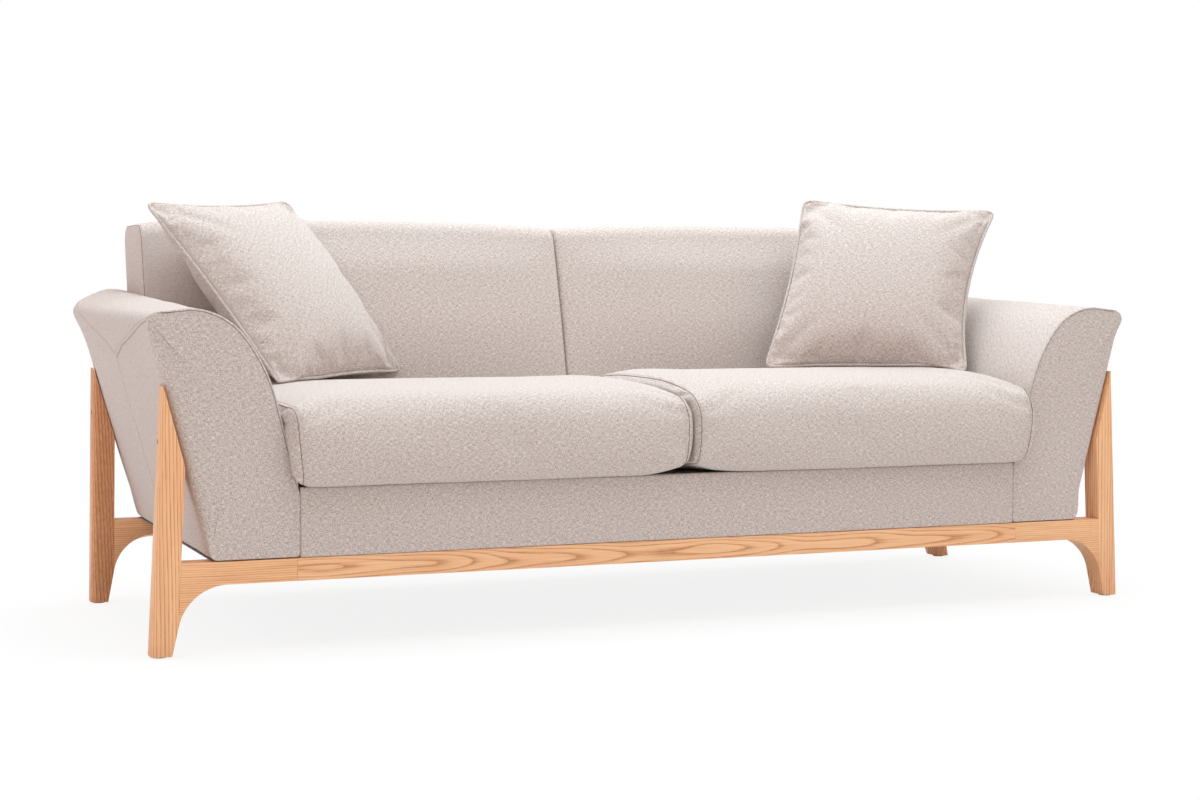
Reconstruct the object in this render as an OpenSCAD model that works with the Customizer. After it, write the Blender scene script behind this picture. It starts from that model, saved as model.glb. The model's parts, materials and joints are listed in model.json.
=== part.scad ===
// Two-and-a-half to three seat sofa: an upholstered body with flared, rolled arms carried on
// two solid wood frames. The front frame stands upright and the rear frame is raked back with
// the back rest. X runs along the sofa, the sofa faces -Y, and Z = 0 is the floor.

/* [Overall size] */
// Width across the tops of the arms
overall_w = 2112; // [1700:1:2500]
// Depth from the seat cushions' fronts to the rearmost line of the back
overall_d = 942; // [860:1:1150]
// Height of the back rest
back_h = 815; // [760:1:900]
// Height of the arms at the front
arm_h = 632; // [610:1:680]
// Width of one arm, from the seat's edge to the outside of the arm's top
arm_w = 277.5; // [260:0.5:330]

/* [Wood frames] */
// Backward rake of the rear frame and of the back's outer face
rear_rake = 12.5; // [0:0.5:15]
// Width of a post, seen from the front
post_w = 46.5; // [36:0.5:54]
// Depth of the posts, rails and brackets
frame_d = 47; // [36:0.5:60]
// Outward splay of the posts
post_splay = 2.86; // [0:0.01:5]
// Height at which a post's outer face meets the arm's side
post_tip_z = 498.7; // [440:0.1:560]
// Blunting of the post's tip, measured down from where its two faces meet
post_blunt = 5; // [2:0.5:12]
// Radius on the two outer edges of a post
post_edge_r = 12; // [4:0.5:18]
// Height of the rails' top face, where the body rests
rail_top = 171.5; // [150:0.5:220]
// Height of the rails' section
rail_h = 42; // [34:0.5:60]
// Radius of the arch under each bracket
arch_r = 92; // [60:1:110]
// Taper of a foot's inner face, from vertical
foot_taper = 13; // [6:0.5:16]
// Distance from a post's outer foot line in to the start of the arch
arch_in = 140; // [120:1:180]
// Length of a bracket's arm, from the arch's start to the glue joint with the rail
bracket_run = 130; // [80:1:200]
// Radius of the glue joints' dowels
dowel_r = 5; // [3:0.5:7]
// Length of the dowels
dowel_l = 60; // [40:1:80]
// Radius of a foot glide
glide_r = 13; // [8:0.5:15]
// Thickness of a foot glide
glide_t = 3; // [2:0.5:6]

/* [Fasteners] */
// Height of the bolts through the posts
bolt_z = 392; // [370:1:410]
// Distance of a bolt from the frame's outer face
bolt_in = 30; // [28:0.5:34]
// Radius of a bolt's shank
bolt_r = 3; // [2:0.25:4]
// Radius of a bolt's head
bolt_head_r = 5.2; // [4:0.1:7]
// Height of a bolt's head
bolt_head_h = 6; // [3:0.5:8]
// Depth of the head's recess in the post
bolt_recess = 12; // [8:0.5:16]
// Length of a threaded insert
insert_l = 16; // [10:0.5:20]
// Spacing of the screws that hold the body on the rails
screw_in = 185; // [120:5:400]
// Radius of those screws
screw_r = 2.5; // [1.5:0.25:4]
// Radius of their heads
screw_head_r = 5; // [4:0.25:7]

/* [Body] */
// Height of the deck under the seat cushions
deck_z = 302; // [270:1:340]
// Thickness of the seat deck's pad
deck_pad_t = 9.7; // [6:0.1:14]
// Thickness of the base's boards
board_t = 25; // [18:1:30]
// Thickness of the padding on the front apron and on the arms' fronts
apron_t = 10; // [8:0.5:14]
// Thickness of the arms' foam over the frame
arm_foam_t = 28; // [20:0.5:34]
// Thickness of the padding on the arms' outer sides
arm_side_t = 10; // [6:0.5:16]
// Thickness of the arms' plywood panels
ply_t = 12; // [9:0.5:13]
// Height of the batten that carries the springs' rear ends
batten_h = 30; // [20:1:40]
// Thickness of the springs' wire
wire_t = 3.8; // [3:0.1:5]
// Number of springs under each seat
spring_n = 4; // [3:1:5]

/* [Arm outline] */
// Distance of the arm's crest from the arm's outside
crest_in = 76; // [60:1:100]
// Radius of the arm's roll next to the crest
roll_r = 125; // [90:1:150]
// Angle that the roll turns through
roll_a = 52; // [40:1:60]
// Radius of the gentler curve below the roll
fall_r = 330; // [200:5:400]
// Lean of the arm's inner face at the foot of that curve
lean_in = 14; // [8:0.5:18]
// Outward lean of the arm's outer side
lean_out = 14.34; // [10:0.01:18]
// Radius of the arm's outer top corner
corner_r = 22; // [12:1:28]
// Drop from the crest to the outer corner
crest_drop = 6; // [2:0.5:12]

/* [Back rest] */
// Rake of the back cushions' front
front_rake = 15.5; // [10:0.5:20]
// Half width of the back above the arms
back_end_in = 113; // [60:1:200]
// Gap between the seat cushions and the back
back_gap = 4; // [1:0.5:20]
// Radius of the back's front top edge
back_front_r = 35; // [20:1:45]
// Radius of the back's rear top edge
back_rear_r = 45; // [25:1:60]
// Thickness of the outer back panel
back_panel_t = 8; // [5:0.5:12]
// Thickness of the padding on the back's two ends
back_end_t = 18; // [10:1:30]
// Thickness of the back frame
back_frame_t = 40; // [25:1:50]
// Height of the back frame's top
back_frame_z = 758; // [700:1:770]

/* [Cushions] */
// Overhang of the seat cushions in front of the frame
cushion_proud = 42; // [10:1:60]
// Depth of the seat cushions
cushion_d = 610; // [520:1:660]
// Thickness of the seat cushions
cushion_t = 168; // [120:1:200]
// Radius of the seat cushions' edges
cushion_r = 40; // [20:1:55]
// Thickness of the seat cushions' cover
cover_t = 4; // [2:0.5:8]
// Side of a scatter cushion
scatter_w = 430; // [350:5:500]
// Thickness of a scatter cushion
scatter_t = 120; // [80:5:150]
// Thickness of a scatter cushion's cover
scatter_cover_t = 2; // [1:0.5:4]

/* [Hidden] */
$fn = 64;

WOOD = "#d9a06c";
BEECH = "#c9a878";
PLY = "#cdb48a";
FABRIC = "#b8aaa2";
FOAM = "#e8e0c8";
STEEL = "#8c8f94";
WEB = "#3c3c40";
CLOTH = "#3a3836";

// Clearance between pieces that seat on each other
seat_gap = 0.3;
// Clearance of a dowel, bolt or insert in its hole
fit_gap = 0.1;
// Reach of a cutting block past whatever it cuts
far = 2000;

// Planes of the two frames
front_y = -overall_d / 2 + cushion_proud;
rear_arc_z = back_h - back_rear_r;
rear_floor_y = overall_d / 2 + back_rear_r * (1 / cos(rear_rake) - 1)
    - rear_arc_z * tan(rear_rake);
rail_low = rail_top - rail_h;

// Outer side of an arm: a plane that leans out, tangent to the arm's top corner
corner_z = arm_h - crest_drop - corner_r;
corner_x = overall_w / 2 - corner_r;
crest_x = overall_w / 2 - crest_in;
roll_c = [crest_x, arm_h - roll_r];
fall_c = roll_c + (fall_r - roll_r) * [sin(roll_a), -cos(roll_a)];
seat_half = overall_w / 2 - arm_w;
arm_base_x = corner_x + corner_r / cos(lean_out) - (corner_z - rail_top) * tan(lean_out);
foot_out = arm_side_x(post_tip_z) + post_tip_z * tan(post_splay);
arch_x = foot_out - arch_in;
joint_x = arch_x - bracket_run;
back_half_w = overall_w / 2 - back_end_in;

// Insets of the back frame from the rear plane
frame_inset = back_panel_t + seat_gap;
frame_back_inset = frame_inset + back_frame_t;

// Heights inside the base
board_z = rail_top + seat_gap + 1.3;
board_top = deck_z - deck_pad_t - seat_gap - wire_t;
bolt_y_front = front_y + bolt_in;
bolt_s = bolt_z / cos(rear_rake);

function arm_side_x(z) = arm_base_x + (z - rail_top) * tan(lean_out);
function rear_y(z, inset = 0) = rear_floor_y + z * tan(rear_rake) - inset / cos(rear_rake);
function post_outer_x(s) = foot_out - s * tan(post_splay);
function post_inner_x(s) = post_outer_x(s) - post_w / cos(post_splay);
function arc(cx, cy, r, a0, a1, n = 8) =
    [for (i = [0:n]) let (a = a0 + (a1 - a0) * i / n) [cx + r * cos(a), cy + r * sin(a)]];

// Half section of an arm, on the +X side: t is an inset from its inner and top faces, and ts
// one from its outer side, and foot is the height of its lower edge.
function arm_points(t = 0, ts = 0, foot = board_z) =
    let (
        low_a = 90 - lean_in,
        low = fall_c + (fall_r - t) * [-sin(low_a), cos(low_a)],
        inner_x = seat_half + t,
        kink_z = low.y - (low.x - inner_x) / tan(lean_in),
        top_z = corner_z + corner_r - t,
        corner = t < corner_r
            ? arc(corner_x, corner_z, corner_r - t, 90, -lean_out)
            : [[arm_side_x(top_z) - ts / cos(lean_out), top_z]]
    )
    concat(
        [[inner_x, foot], [inner_x, kink_z]],
        arc(fall_c.x, fall_c.y, fall_r - t, 90 + low_a, 90 + roll_a, 6),
        arc(roll_c.x, roll_c.y, roll_r - t, 90 + roll_a - 4, 90, 10),
        corner,
        [[arm_side_x(foot) - ts / cos(lean_out), foot]]
    );

// Placement: the front frame's outer face is y = 0 and it extends towards +y; the rear frame
// is the same shape turned round and tilted back, with z measured along its own plane.
module front_place() translate([0, front_y, 0]) children();
module rear_place() translate([0, rear_floor_y, 0]) rotate([-rear_rake, 0, 0])
    mirror([0, 1, 0]) children();
module left_side() mirror([1, 0, 0]) children();

// Everything above a height, everything behind the raked plane at an inset, and everything
// inside the plane of an arm's outer side
module above(z) translate([-far, -far, z]) cube([2 * far, 2 * far, far]);
module below(z) translate([-far, -far, z - far]) cube([2 * far, 2 * far, far]);
module behind(inset) rear_place() translate([-far, inset - far, -far]) cube([2 * far, far, 2 * far]);
module inside_arm_plane() translate([arm_base_x, 0, rail_top]) rotate([0, lean_out, 0])
    translate([-far, -far, -far]) cube([far, 2 * far, 2 * far]);

// A board that lies between two insets from the raked rear plane
module raked_board(x0, x1, z0, z1, inset0, inset1)
    difference() {
        translate([x0, 0, z0]) cube([x1 - x0, far, z1 - z0]);
        behind(inset0);
        rear_place() translate([-far, inset1, -far]) cube([2 * far, far, 2 * far]);
    }

// A prism of a section in X and Z, from y0 to y1
module xz_prism(points, y0, y1)
    translate([0, y1, 0]) rotate([90, 0, 0]) linear_extrude(y1 - y0) polygon(points);

module rounded_rect(w, h, r) {
    translate([r, 0]) square([w - 2 * r, h]);
    translate([0, r]) square([w, h - 2 * r]);
    for (x = [r, w - r], y = [r, h - r]) translate([x, y]) circle(r);
}

// ---- Wood frames ----

// Open space under a frame: flat under the rail, an arch at each bracket and a tapered foot
module arch_section(k) {
    arch_z = rail_low * k - arch_r;
    end = [arch_x + arch_r * cos(foot_taper), arch_z + arch_r * sin(foot_taper)];
    deep = -60;
    translate([arch_x, arch_z]) circle(arch_r, $fn = 128);
    polygon([
        [0, deep], [end.x + (end.y - deep) * tan(foot_taper), deep], end,
        [arch_x, arch_z + arch_r], [0, arch_z + arch_r]
    ]);
}
module arch_cut(k) translate([0, frame_d + 1, 0]) rotate([90, 0, 0])
    linear_extrude(frame_d + 2) arch_section(k);

// A post's section: flat inside, with its two outer edges well rounded
module post_section() {
    translate([-post_w, 0]) square([post_w - post_edge_r, frame_d]);
    translate([-post_w, post_edge_r]) square([post_w, frame_d - 2 * post_edge_r]);
    for (y = [post_edge_r, frame_d - post_edge_r]) translate([-post_edge_r, y]) circle(post_edge_r);
}

module dowel_holes(k, r) {
    for (x = [joint_x, post_inner_x(rail_top)], s = dowel_heights(k))
        translate([x - dowel_l / 2 - fit_gap, frame_d / 2, s]) rotate([0, 90, 0])
            cylinder(h = dowel_l + 2 * fit_gap, r = r);
}
function dowel_heights(k) = [for (f = [0.28, 0.72]) (rail_low + f * rail_h) * k];

module post_blank(k)
    difference() {
        translate([foot_out, 0, 0]) rotate([0, -post_splay, 0])
            translate([0, 0, -60]) linear_extrude(post_tip_z * k + 90) post_section();
        arch_cut(k);
        dowel_holes(k, dowel_r + fit_gap);
        bolt_bores(bolt_z * k);
    }
module bolt_bores(s) {
    translate([arm_side_x(bolt_z) - 60, bolt_in, s]) rotate([0, 90, 0])
        cylinder(h = 200, r = bolt_r + fit_gap);
    translate([head_x - fit_gap, bolt_in, s]) rotate([0, 90, 0])
        cylinder(h = 60, r = bolt_head_r + 4 * fit_gap);
}
module post_trim() {
    inside_arm_plane();
    above(post_tip_z - post_blunt);
    below(glide_t);
}
module post_front() color(WOOD)
    difference() {
        front_place() post_blank(1);
        post_trim();
    }
module post_rear() color(WOOD)
    difference() {
        rear_place() post_blank(1 / cos(rear_rake));
        post_trim();
    }
module post_front_left() left_side() post_front();
module post_front_right() post_front();
module post_rear_left() left_side() post_rear();
module post_rear_right() post_rear();

module bracket_blank(k)
    difference() {
        xz_prism([
            [joint_x + seat_gap / 2, rail_low * k],
            [joint_x + seat_gap / 2, rail_top * k + 20],
            [post_inner_x(rail_top * k + 20) - seat_gap, rail_top * k + 20],
            [post_inner_x(0) - seat_gap, 0],
            [arch_x, 0],
            [arch_x, rail_low * k]
        ], 0, frame_d);
        arch_cut(k);
        dowel_holes(k, dowel_r + fit_gap);
    }
module bracket_front() color(WOOD)
    difference() {
        front_place() bracket_blank(1);
        above(rail_top);
    }
module bracket_rear() color(WOOD)
    difference() {
        rear_place() bracket_blank(1 / cos(rear_rake));
        above(rail_top);
    }
module bracket_front_left() left_side() bracket_front();
module bracket_front_right() bracket_front();
module bracket_rear_left() left_side() bracket_rear();
module bracket_rear_right() bracket_rear();

module rail_blank(k) {
    reach = joint_x - seat_gap / 2;
    difference() {
        translate([-reach, 0, rail_low * k]) cube([2 * reach, frame_d, rail_h * k + 20]);
        dowel_holes(k, dowel_r + fit_gap);
        left_side() dowel_holes(k, dowel_r + fit_gap);
    }
}
module rail_front() color(WOOD)
    difference() {
        front_place() rail_blank(1);
        above(rail_top);
        screw_bores();
    }
module rail_rear() color(WOOD)
    difference() {
        rear_place() rail_blank(1 / cos(rear_rake));
        above(rail_top);
        screw_bores();
    }

module dowel_set(k) {
    for (x = [joint_x, post_inner_x(rail_top)], s = dowel_heights(k))
        translate([x - dowel_l / 2, frame_d / 2, s]) rotate([0, 90, 0])
            cylinder(h = dowel_l, r = dowel_r);
}
module frame_dowels() color(BEECH) {
    front_place() dowel_set(1);
    left_side() front_place() dowel_set(1);
    rear_place() dowel_set(1 / cos(rear_rake));
    left_side() rear_place() dowel_set(1 / cos(rear_rake));
}

// Middle of a foot's sole, as [x, y]
sole_inner_x = arch_x + arch_r * cos(foot_taper)
    + (rail_low - arch_r + arch_r * sin(foot_taper)) * tan(foot_taper);
sole_x = (sole_inner_x + foot_out) / 2;
sole_y_front = front_y + frame_d / 2;
sole_y_rear = rear_y(glide_t, frame_d / 2);
module foot_glides() color(STEEL)
    for (side = [-1, 1], y = [sole_y_front, sole_y_rear])
        translate([side * sole_x, y, 0]) cylinder(h = glide_t, r = glide_r);

// ---- Fasteners ----

// Puts its children at each bolt's place on the arm plane, with +x pointing out of the arm
module at_bolts()
    for (s = [0, 1], m = [0, 1])
        mirror([m, 0, 0]) {
            if (s == 0) translate([0, front_y + bolt_in, bolt_z]) children();
            if (s == 1) translate([0, rear_bolt_y, rear_bolt_z]) children();
        }
rear_bolt_y = rear_floor_y - bolt_in * cos(rear_rake) + bolt_s * sin(rear_rake);
rear_bolt_z = bolt_in * sin(rear_rake) + bolt_s * cos(rear_rake);
head_x = post_outer_x(bolt_z / cos(rear_rake)) - bolt_recess;
insert_x = arm_side_x(bolt_z) - arm_side_t - insert_l - 3;
module post_bolts() color(STEEL)
    at_bolts() difference() {
        union() {
            translate([insert_x, 0, 0]) rotate([0, 90, 0])
                cylinder(h = head_x + bolt_head_h / 2 - insert_x, r = bolt_r);
            translate([head_x, 0, 0]) rotate([0, 90, 0]) cylinder(h = bolt_head_h, r = bolt_head_r);
        }
        translate([head_x + bolt_head_h / 2, 0, 0]) rotate([0, 90, 0])
            cylinder(h = bolt_head_h, r = bolt_head_r / 2, $fn = 6);
    }
module post_inserts() color(STEEL)
    at_bolts() translate([insert_x, 0, 0]) rotate([0, 90, 0]) difference() {
        cylinder(h = insert_l, r = bolt_r + 2);
        translate([0, 0, -1]) cylinder(h = insert_l + 2, r = bolt_r + fit_gap);
    }
module insert_bores() at_bolts() translate([insert_x - 30, 0, 0]) rotate([0, 90, 0])
    cylinder(h = insert_l + 60, r = bolt_r + 2 + fit_gap);
module cover_bores() at_bolts() translate([insert_x + insert_l, 0, 0]) rotate([0, 90, 0])
    cylinder(h = 80, r = bolt_r + fit_gap);

// Screws run up through each rail into the middle of the board that rests on it
screw_sink = 14;
screw_bite = 45;
module screw_row(k, y)
    for (i = [-1, 0, 1])
        translate([i * (joint_x - screw_in), y, rail_low * k + screw_sink]) children();
module screw_set(k, y) screw_row(k, y) {
    cylinder(h = 3, r = screw_head_r);
    cylinder(h = rail_h * k - screw_sink + screw_bite, r = screw_r);
}
module screw_holes(k, y) screw_row(k, y) {
    translate([0, 0, -rail_low]) cylinder(h = rail_low + 3 + fit_gap, r = screw_head_r + fit_gap);
    cylinder(h = rail_h * k - screw_sink + screw_bite + 1, r = screw_r + fit_gap);
}
screw_y = frame_d / 2;
rear_screw_y = back_panel_t + board_t / 2;
module rail_screws() color(STEEL) {
    front_place() screw_set(1, screw_y);
    rear_place() screw_set(1 / cos(rear_rake), rear_screw_y);
}
module screw_bores() {
    front_place() screw_holes(1, screw_y);
    rear_place() screw_holes(1 / cos(rear_rake), rear_screw_y);
}

// ---- Base and springs ----

inner_half = seat_half - seat_gap;
base_front_y = front_y + apron_t + seat_gap;
base_back_inset = back_panel_t + seat_gap;
module base_board_front() color(PLY)
    difference() {
        translate([-inner_half, base_front_y, board_z])
            cube([2 * inner_half, board_t, board_top - board_z]);
        screw_bores();
    }
module base_board_rear() color(PLY)
    difference() {
        raked_board(-inner_half, inner_half, board_z, board_top,
            base_back_inset, base_back_inset + board_t);
        screw_bores();
    }
module base_side() color(PLY)
    difference() {
        translate([inner_half - board_t, base_front_y + board_t + seat_gap, board_z])
            cube([board_t, far, board_top - board_z]);
        behind(base_back_inset + board_t + seat_gap);
    }
module base_board_left() left_side() base_side();
module base_board_right() base_side();
beam_w = 45;
module base_beam() color(PLY)
    difference() {
        translate([-beam_w / 2, base_front_y + board_t + seat_gap, board_z])
            cube([beam_w, far, (board_top - board_z) * 0.6]);
        behind(base_back_inset + board_t + seat_gap);
    }
batten_inset = base_back_inset + board_t + seat_gap;
batten_x = inner_half - board_t - seat_gap;
batten_reach = 18;
module spring_batten() color(BEECH)
    raked_board(-batten_x, batten_x, board_top - batten_h, board_top,
        batten_inset, frame_back_inset + batten_reach);
block_l = 60;
module corner_blocks() color(PLY)
    for (side = [-1, 1], y = [
            base_front_y + board_t + seat_gap,
            rear_y(board_z, base_back_inset + board_t) - block_l - seat_gap
        ])
        translate([side * (inner_half - board_t - block_l / 2 - seat_gap), y + block_l / 2, board_z])
            translate([-block_l / 2, -block_l / 2, 0]) cube([block_l, block_l, block_l * 0.6]);

// A flat serpentine spring along +y: straight bars joined by half rings
spring_w = 46;
spring_pitch = 44;
spring_y0 = base_front_y + board_t / 2;
spring_len = rear_y(board_top, frame_back_inset + batten_reach * 0.7) - spring_y0;
bars = floor(spring_len / spring_pitch);
module spring_section() {
    pitch = spring_len / bars;
    for (i = [0:bars])
        translate([-spring_w / 2, i * pitch - wire_t / 2]) square([spring_w, wire_t]);
    for (i = [0:bars - 1]) {
        turn = (i % 2 == 0) ? 1 : -1;
        translate([turn * spring_w / 2, (i + 0.5) * pitch]) intersection() {
            difference() {
                circle(pitch / 2 + wire_t / 2);
                circle(pitch / 2 - wire_t / 2);
            }
            translate([turn > 0 ? 0 : -pitch, -pitch]) square([pitch, 2 * pitch]);
        }
    }
}
seat_span = inner_half - board_t - beam_w / 2;
function spring_x(i) = beam_w / 2 + seat_span * (i + 0.5) / spring_n;
module spring_row() color(STEEL)
    for (i = [0:spring_n - 1])
        translate([spring_x(i), spring_y0, board_top]) linear_extrude(wire_t) spring_section();
module springs_left() left_side() spring_row();
module springs_right() spring_row();
clip_w = 14;
module spring_clips() color(STEEL)
    for (side = [-1, 1], i = [0:spring_n - 1], end = [
            spring_y0 - wire_t / 2 - clip_w / 2,
            spring_y0 + spring_len + wire_t / 2
        ])
        translate([side * spring_x(i) - clip_w / 2, end, board_top])
            cube([clip_w, clip_w / 2, wire_t]);

module seat_deck() color(CLOTH)
    difference() {
        translate([-inner_half, base_front_y, deck_z - deck_pad_t])
            cube([2 * inner_half, far, deck_pad_t]);
        behind(back_panel_t + back_frame_t + 2 * seat_gap);
    }
module apron_pad() color(FABRIC)
    translate([-inner_half, front_y, rail_top + seat_gap])
        cube([2 * inner_half, apron_t, deck_z - rail_top - seat_gap]);
cover_x = arm_base_x - 4;
module dust_cover() color(CLOTH)
    difference() {
        translate([-cover_x, base_front_y, rail_top + seat_gap]) cube([2 * cover_x, far, 1]);
        behind(back_panel_t + seat_gap);
        screw_bores();
    }

// ---- Arms ----

panel_y = front_y + apron_t + seat_gap;
arm_back_inset = apron_t + seat_gap;
function frame_points() = arm_points(arm_foam_t + seat_gap, arm_side_t + seat_gap);
module arm_pad() color(FABRIC)
    difference() {
        xz_prism(arm_points(), front_y, far);
        behind(0);
        difference() {
            xz_prism(arm_points(arm_foam_t, arm_side_t, rail_top - 10), front_y + apron_t, far);
            behind(apron_t);
        }
        cover_bores();
    }
module arm_pad_left() left_side() arm_pad();
module arm_pad_right() arm_pad();

module arm_panel_front() color(PLY) xz_prism(frame_points(), panel_y, panel_y + ply_t);
module arm_panel_front_left() left_side() arm_panel_front();
module arm_panel_front_right() arm_panel_front();
module arm_panel_rear() color(PLY)
    intersection() {
        xz_prism(frame_points(), front_y, far);
        raked_board(0, far, 0, far, arm_back_inset, arm_back_inset + ply_t);
    }
module arm_panel_rear_left() left_side() arm_panel_rear();
module arm_panel_rear_right() arm_panel_rear();

top_rail_w = 80;
top_rail_z = arm_h - roll_r + sqrt((roll_r - arm_foam_t) ^ 2 - (top_rail_w / 2) ^ 2) - 1;
module arm_rail_top() color(BEECH)
    difference() {
        translate([crest_x - top_rail_w / 2, panel_y + ply_t + seat_gap, top_rail_z - board_t])
            cube([top_rail_w, far, board_t]);
        behind(arm_back_inset + ply_t + seat_gap);
    }
module arm_rail_top_left() left_side() arm_rail_top();
module arm_rail_top_right() arm_rail_top();
side_rail_h = 80;
side_rail_t = 24;
module arm_rail_side() color(BEECH)
    difference() {
        translate([arm_side_x(bolt_z), panel_y + ply_t + seat_gap, bolt_z]) rotate([0, lean_out, 0])
            translate([-arm_side_t - seat_gap - side_rail_t, 0, -side_rail_h / 2])
            cube([side_rail_t, far, side_rail_h]);
        behind(arm_back_inset + ply_t + seat_gap);
        insert_bores();
    }
module arm_rail_side_left() left_side() arm_rail_side();
module arm_rail_side_right() arm_rail_side();

// ---- Back ----

// Front of the back cushions, which meets the deck just behind the seat cushions
back_foot_y = -overall_d / 2 + cushion_d + back_gap;
function back_front_y(z) = back_foot_y + (z - deck_z) * tan(front_rake);
back_arc_z = back_h - back_front_r;
front_c = [back_front_y(back_arc_z) + back_front_r / cos(front_rake), back_arc_z];
web_t = 2;
pad_inset = frame_back_inset + 2 * (web_t + seat_gap) + seat_gap;
pad_foot_z = deck_z + seat_gap;
cap_z = back_frame_z + seat_gap;

// Section of a back cushion in Y and Z: raked front, rounded top, and a rear face at an inset
// from the rear plane below the cap that covers the frame
function pad_section(inset) =
    let (rear_c = [rear_y(rear_arc_z, back_rear_r), rear_arc_z])
    concat(
        [[back_front_y(pad_foot_z), pad_foot_z]],
        arc(front_c.x, front_c.y, back_front_r, 180 - front_rake, 90),
        arc(rear_c.x, rear_c.y, back_rear_r, 90, -rear_rake),
        [[rear_y(cap_z), cap_z], [rear_y(cap_z, inset), cap_z],
            [rear_y(pad_foot_z, inset), pad_foot_z]]
    );
module beside_arm() translate([-0.5, 0, 0.5])
    xz_prism(arm_points(0, 0, rail_top - 10), front_y - 1, far);
module pad_prism(x0, x1, inset) translate([x0, 0, 0]) rotate([90, 0, 90])
    linear_extrude(x1 - x0) polygon(pad_section(inset));
module back_pad() color(FABRIC)
    difference() {
        union() {
            pad_prism(seat_gap / 2, back_half_w - back_end_t, pad_inset);
            pad_prism(back_half_w - back_end_t, back_half_w, 0.01);
        }
        beside_arm();
    }
module back_pad_left() left_side() back_pad();
module back_pad_right() back_pad();

panel_half = back_half_w - back_end_t - seat_gap;
module back_panel() color(FABRIC)
    difference() {
        raked_board(-panel_half, panel_half, rail_top + seat_gap, back_frame_z, 0, back_panel_t);
        beside_arm();
        left_side() beside_arm();
    }

rail_drop = 40;
back_low_z = board_top + seat_gap;
module back_rail_top() color(BEECH)
    raked_board(-panel_half, panel_half, back_frame_z - rail_drop, back_frame_z,
        frame_inset, frame_back_inset);
module back_rail_low() color(BEECH)
    raked_board(-inner_half, inner_half, back_low_z, back_low_z + rail_drop,
        frame_inset, frame_back_inset);
upright_w = 40;
module back_uprights() color(BEECH)
    for (i = [-2:2])
        raked_board(i * upright_pitch - upright_w / 2, i * upright_pitch + upright_w / 2,
            back_low_z + rail_drop + seat_gap, back_frame_z - rail_drop - seat_gap,
            frame_inset, frame_back_inset);
upright_pitch = (inner_half - upright_w / 2) / 2;
web_w = 50;
web_inset = frame_back_inset + seat_gap;
module back_webbing() color(WEB) {
    for (f = [0.2, 0.45, 0.7])
        raked_board(-inner_half, inner_half, web_z(f) - web_w / 2, web_z(f) + web_w / 2,
            web_inset, web_inset + web_t);
    for (i = [-1.5, -0.5, 0.5, 1.5])
        raked_board(i * upright_pitch - web_w / 2, i * upright_pitch + web_w / 2,
            back_low_z + 50, back_frame_z - 8,
            web_inset + web_t + seat_gap, web_inset + 2 * web_t + seat_gap);
}
function web_z(f) = back_low_z + f * (back_frame_z - back_low_z);

// ---- Seat cushions ----

cushion_x0 = 0.5;
cushion_w = seat_half - 1 - cushion_x0;
cushion_z = deck_z + seat_gap;
module cushion_block(inset)
    translate([cushion_x0 + inset, -overall_d / 2 + inset, cushion_z + inset])
        rotate([90, 0, 90]) linear_extrude(cushion_w - 2 * inset)
        rounded_rect(cushion_d - 2 * inset, cushion_t - 2 * inset, cushion_r - inset);
module seat_cushion() color(FABRIC)
    difference() {
        cushion_block(0);
        cushion_block(cover_t);
    }
module seat_core() color(FOAM) cushion_block(cover_t + seat_gap);
module seat_cushion_left() left_side() seat_cushion();
module seat_cushion_right() seat_cushion();
module seat_core_left() left_side() seat_core();
module seat_core_right() seat_core();

// A zip along the back of a seat cushion: a tape with a slider at one end
zip_h = 12;
zip_margin = 80;
module seat_zip() color(CLOTH)
    translate([cushion_x0 + zip_margin, -overall_d / 2 + cushion_d + seat_gap / 2,
            cushion_z + cushion_t / 2 - zip_h / 2]) {
        cube([cushion_w - 2 * zip_margin, 1.5, zip_h]);
        translate([12, 0, 2]) cube([14, 2.5, zip_h - 4]);
    }
module seat_zip_left() left_side() seat_zip();
module seat_zip_right() seat_zip();

// ---- Scatter cushions ----

// A square cushion about its own centre, facing -y: full in the middle and thin at its edges
module scatter_block(inset) {
    edge_t = 24 - 2 * inset;
    side = scatter_w - 2 * inset;
    crown = scatter_w * 0.62 - 2 * inset;
    full = scatter_t - 2 * inset;
    hull() {
        cube([side, edge_t, side], center = true);
        cube([crown, full, crown], center = true);
    }
}
module scatter_cover() difference() {
    scatter_block(0);
    scatter_block(scatter_cover_t);
}
// Turn and lean of a cushion in its corner, and its centre from the middle of the sofa
scatter_turn = 37;
scatter_lean = 33;
module scatter_pose(centre) translate(centre) rotate([0, 0, -scatter_turn])
    rotate([-scatter_lean, 0, 0]) children();
scatter_z = deck_z + cushion_t + 187.5;

// The right cushion's outer edge lies along the fall of the arm, and the left one's inner
// edge along the rounded top of the back
arm_edge = atan(tan(scatter_lean) * sin(scatter_turn));
back_edge = atan(tan(scatter_lean) * cos(scatter_turn));
arm_rest_x = fall_c.x - fall_r / cos(arm_edge) + (scatter_z - fall_c.y) * tan(arm_edge);
back_rest_y = front_c.x - back_front_r / cos(back_edge) + (scatter_z - front_c.y) * tan(back_edge);
scatter_out = 180.7;
scatter_back = 141.1;
right_centre = [arm_rest_x - scatter_out, front_y + 452, scatter_z];
left_centre = [seat_half - 104, back_rest_y - scatter_back, scatter_z];
module scatter_cushion_left() color(FABRIC) left_side() scatter_pose(left_centre) scatter_cover();
module scatter_cushion_right() color(FABRIC) scatter_pose(right_centre) scatter_cover();
module scatter_filling_left() color(FOAM) left_side() scatter_pose(left_centre)
    scatter_block(scatter_cover_t + seat_gap);
module scatter_filling_right() color(FOAM) scatter_pose(right_centre)
    scatter_block(scatter_cover_t + seat_gap);

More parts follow.
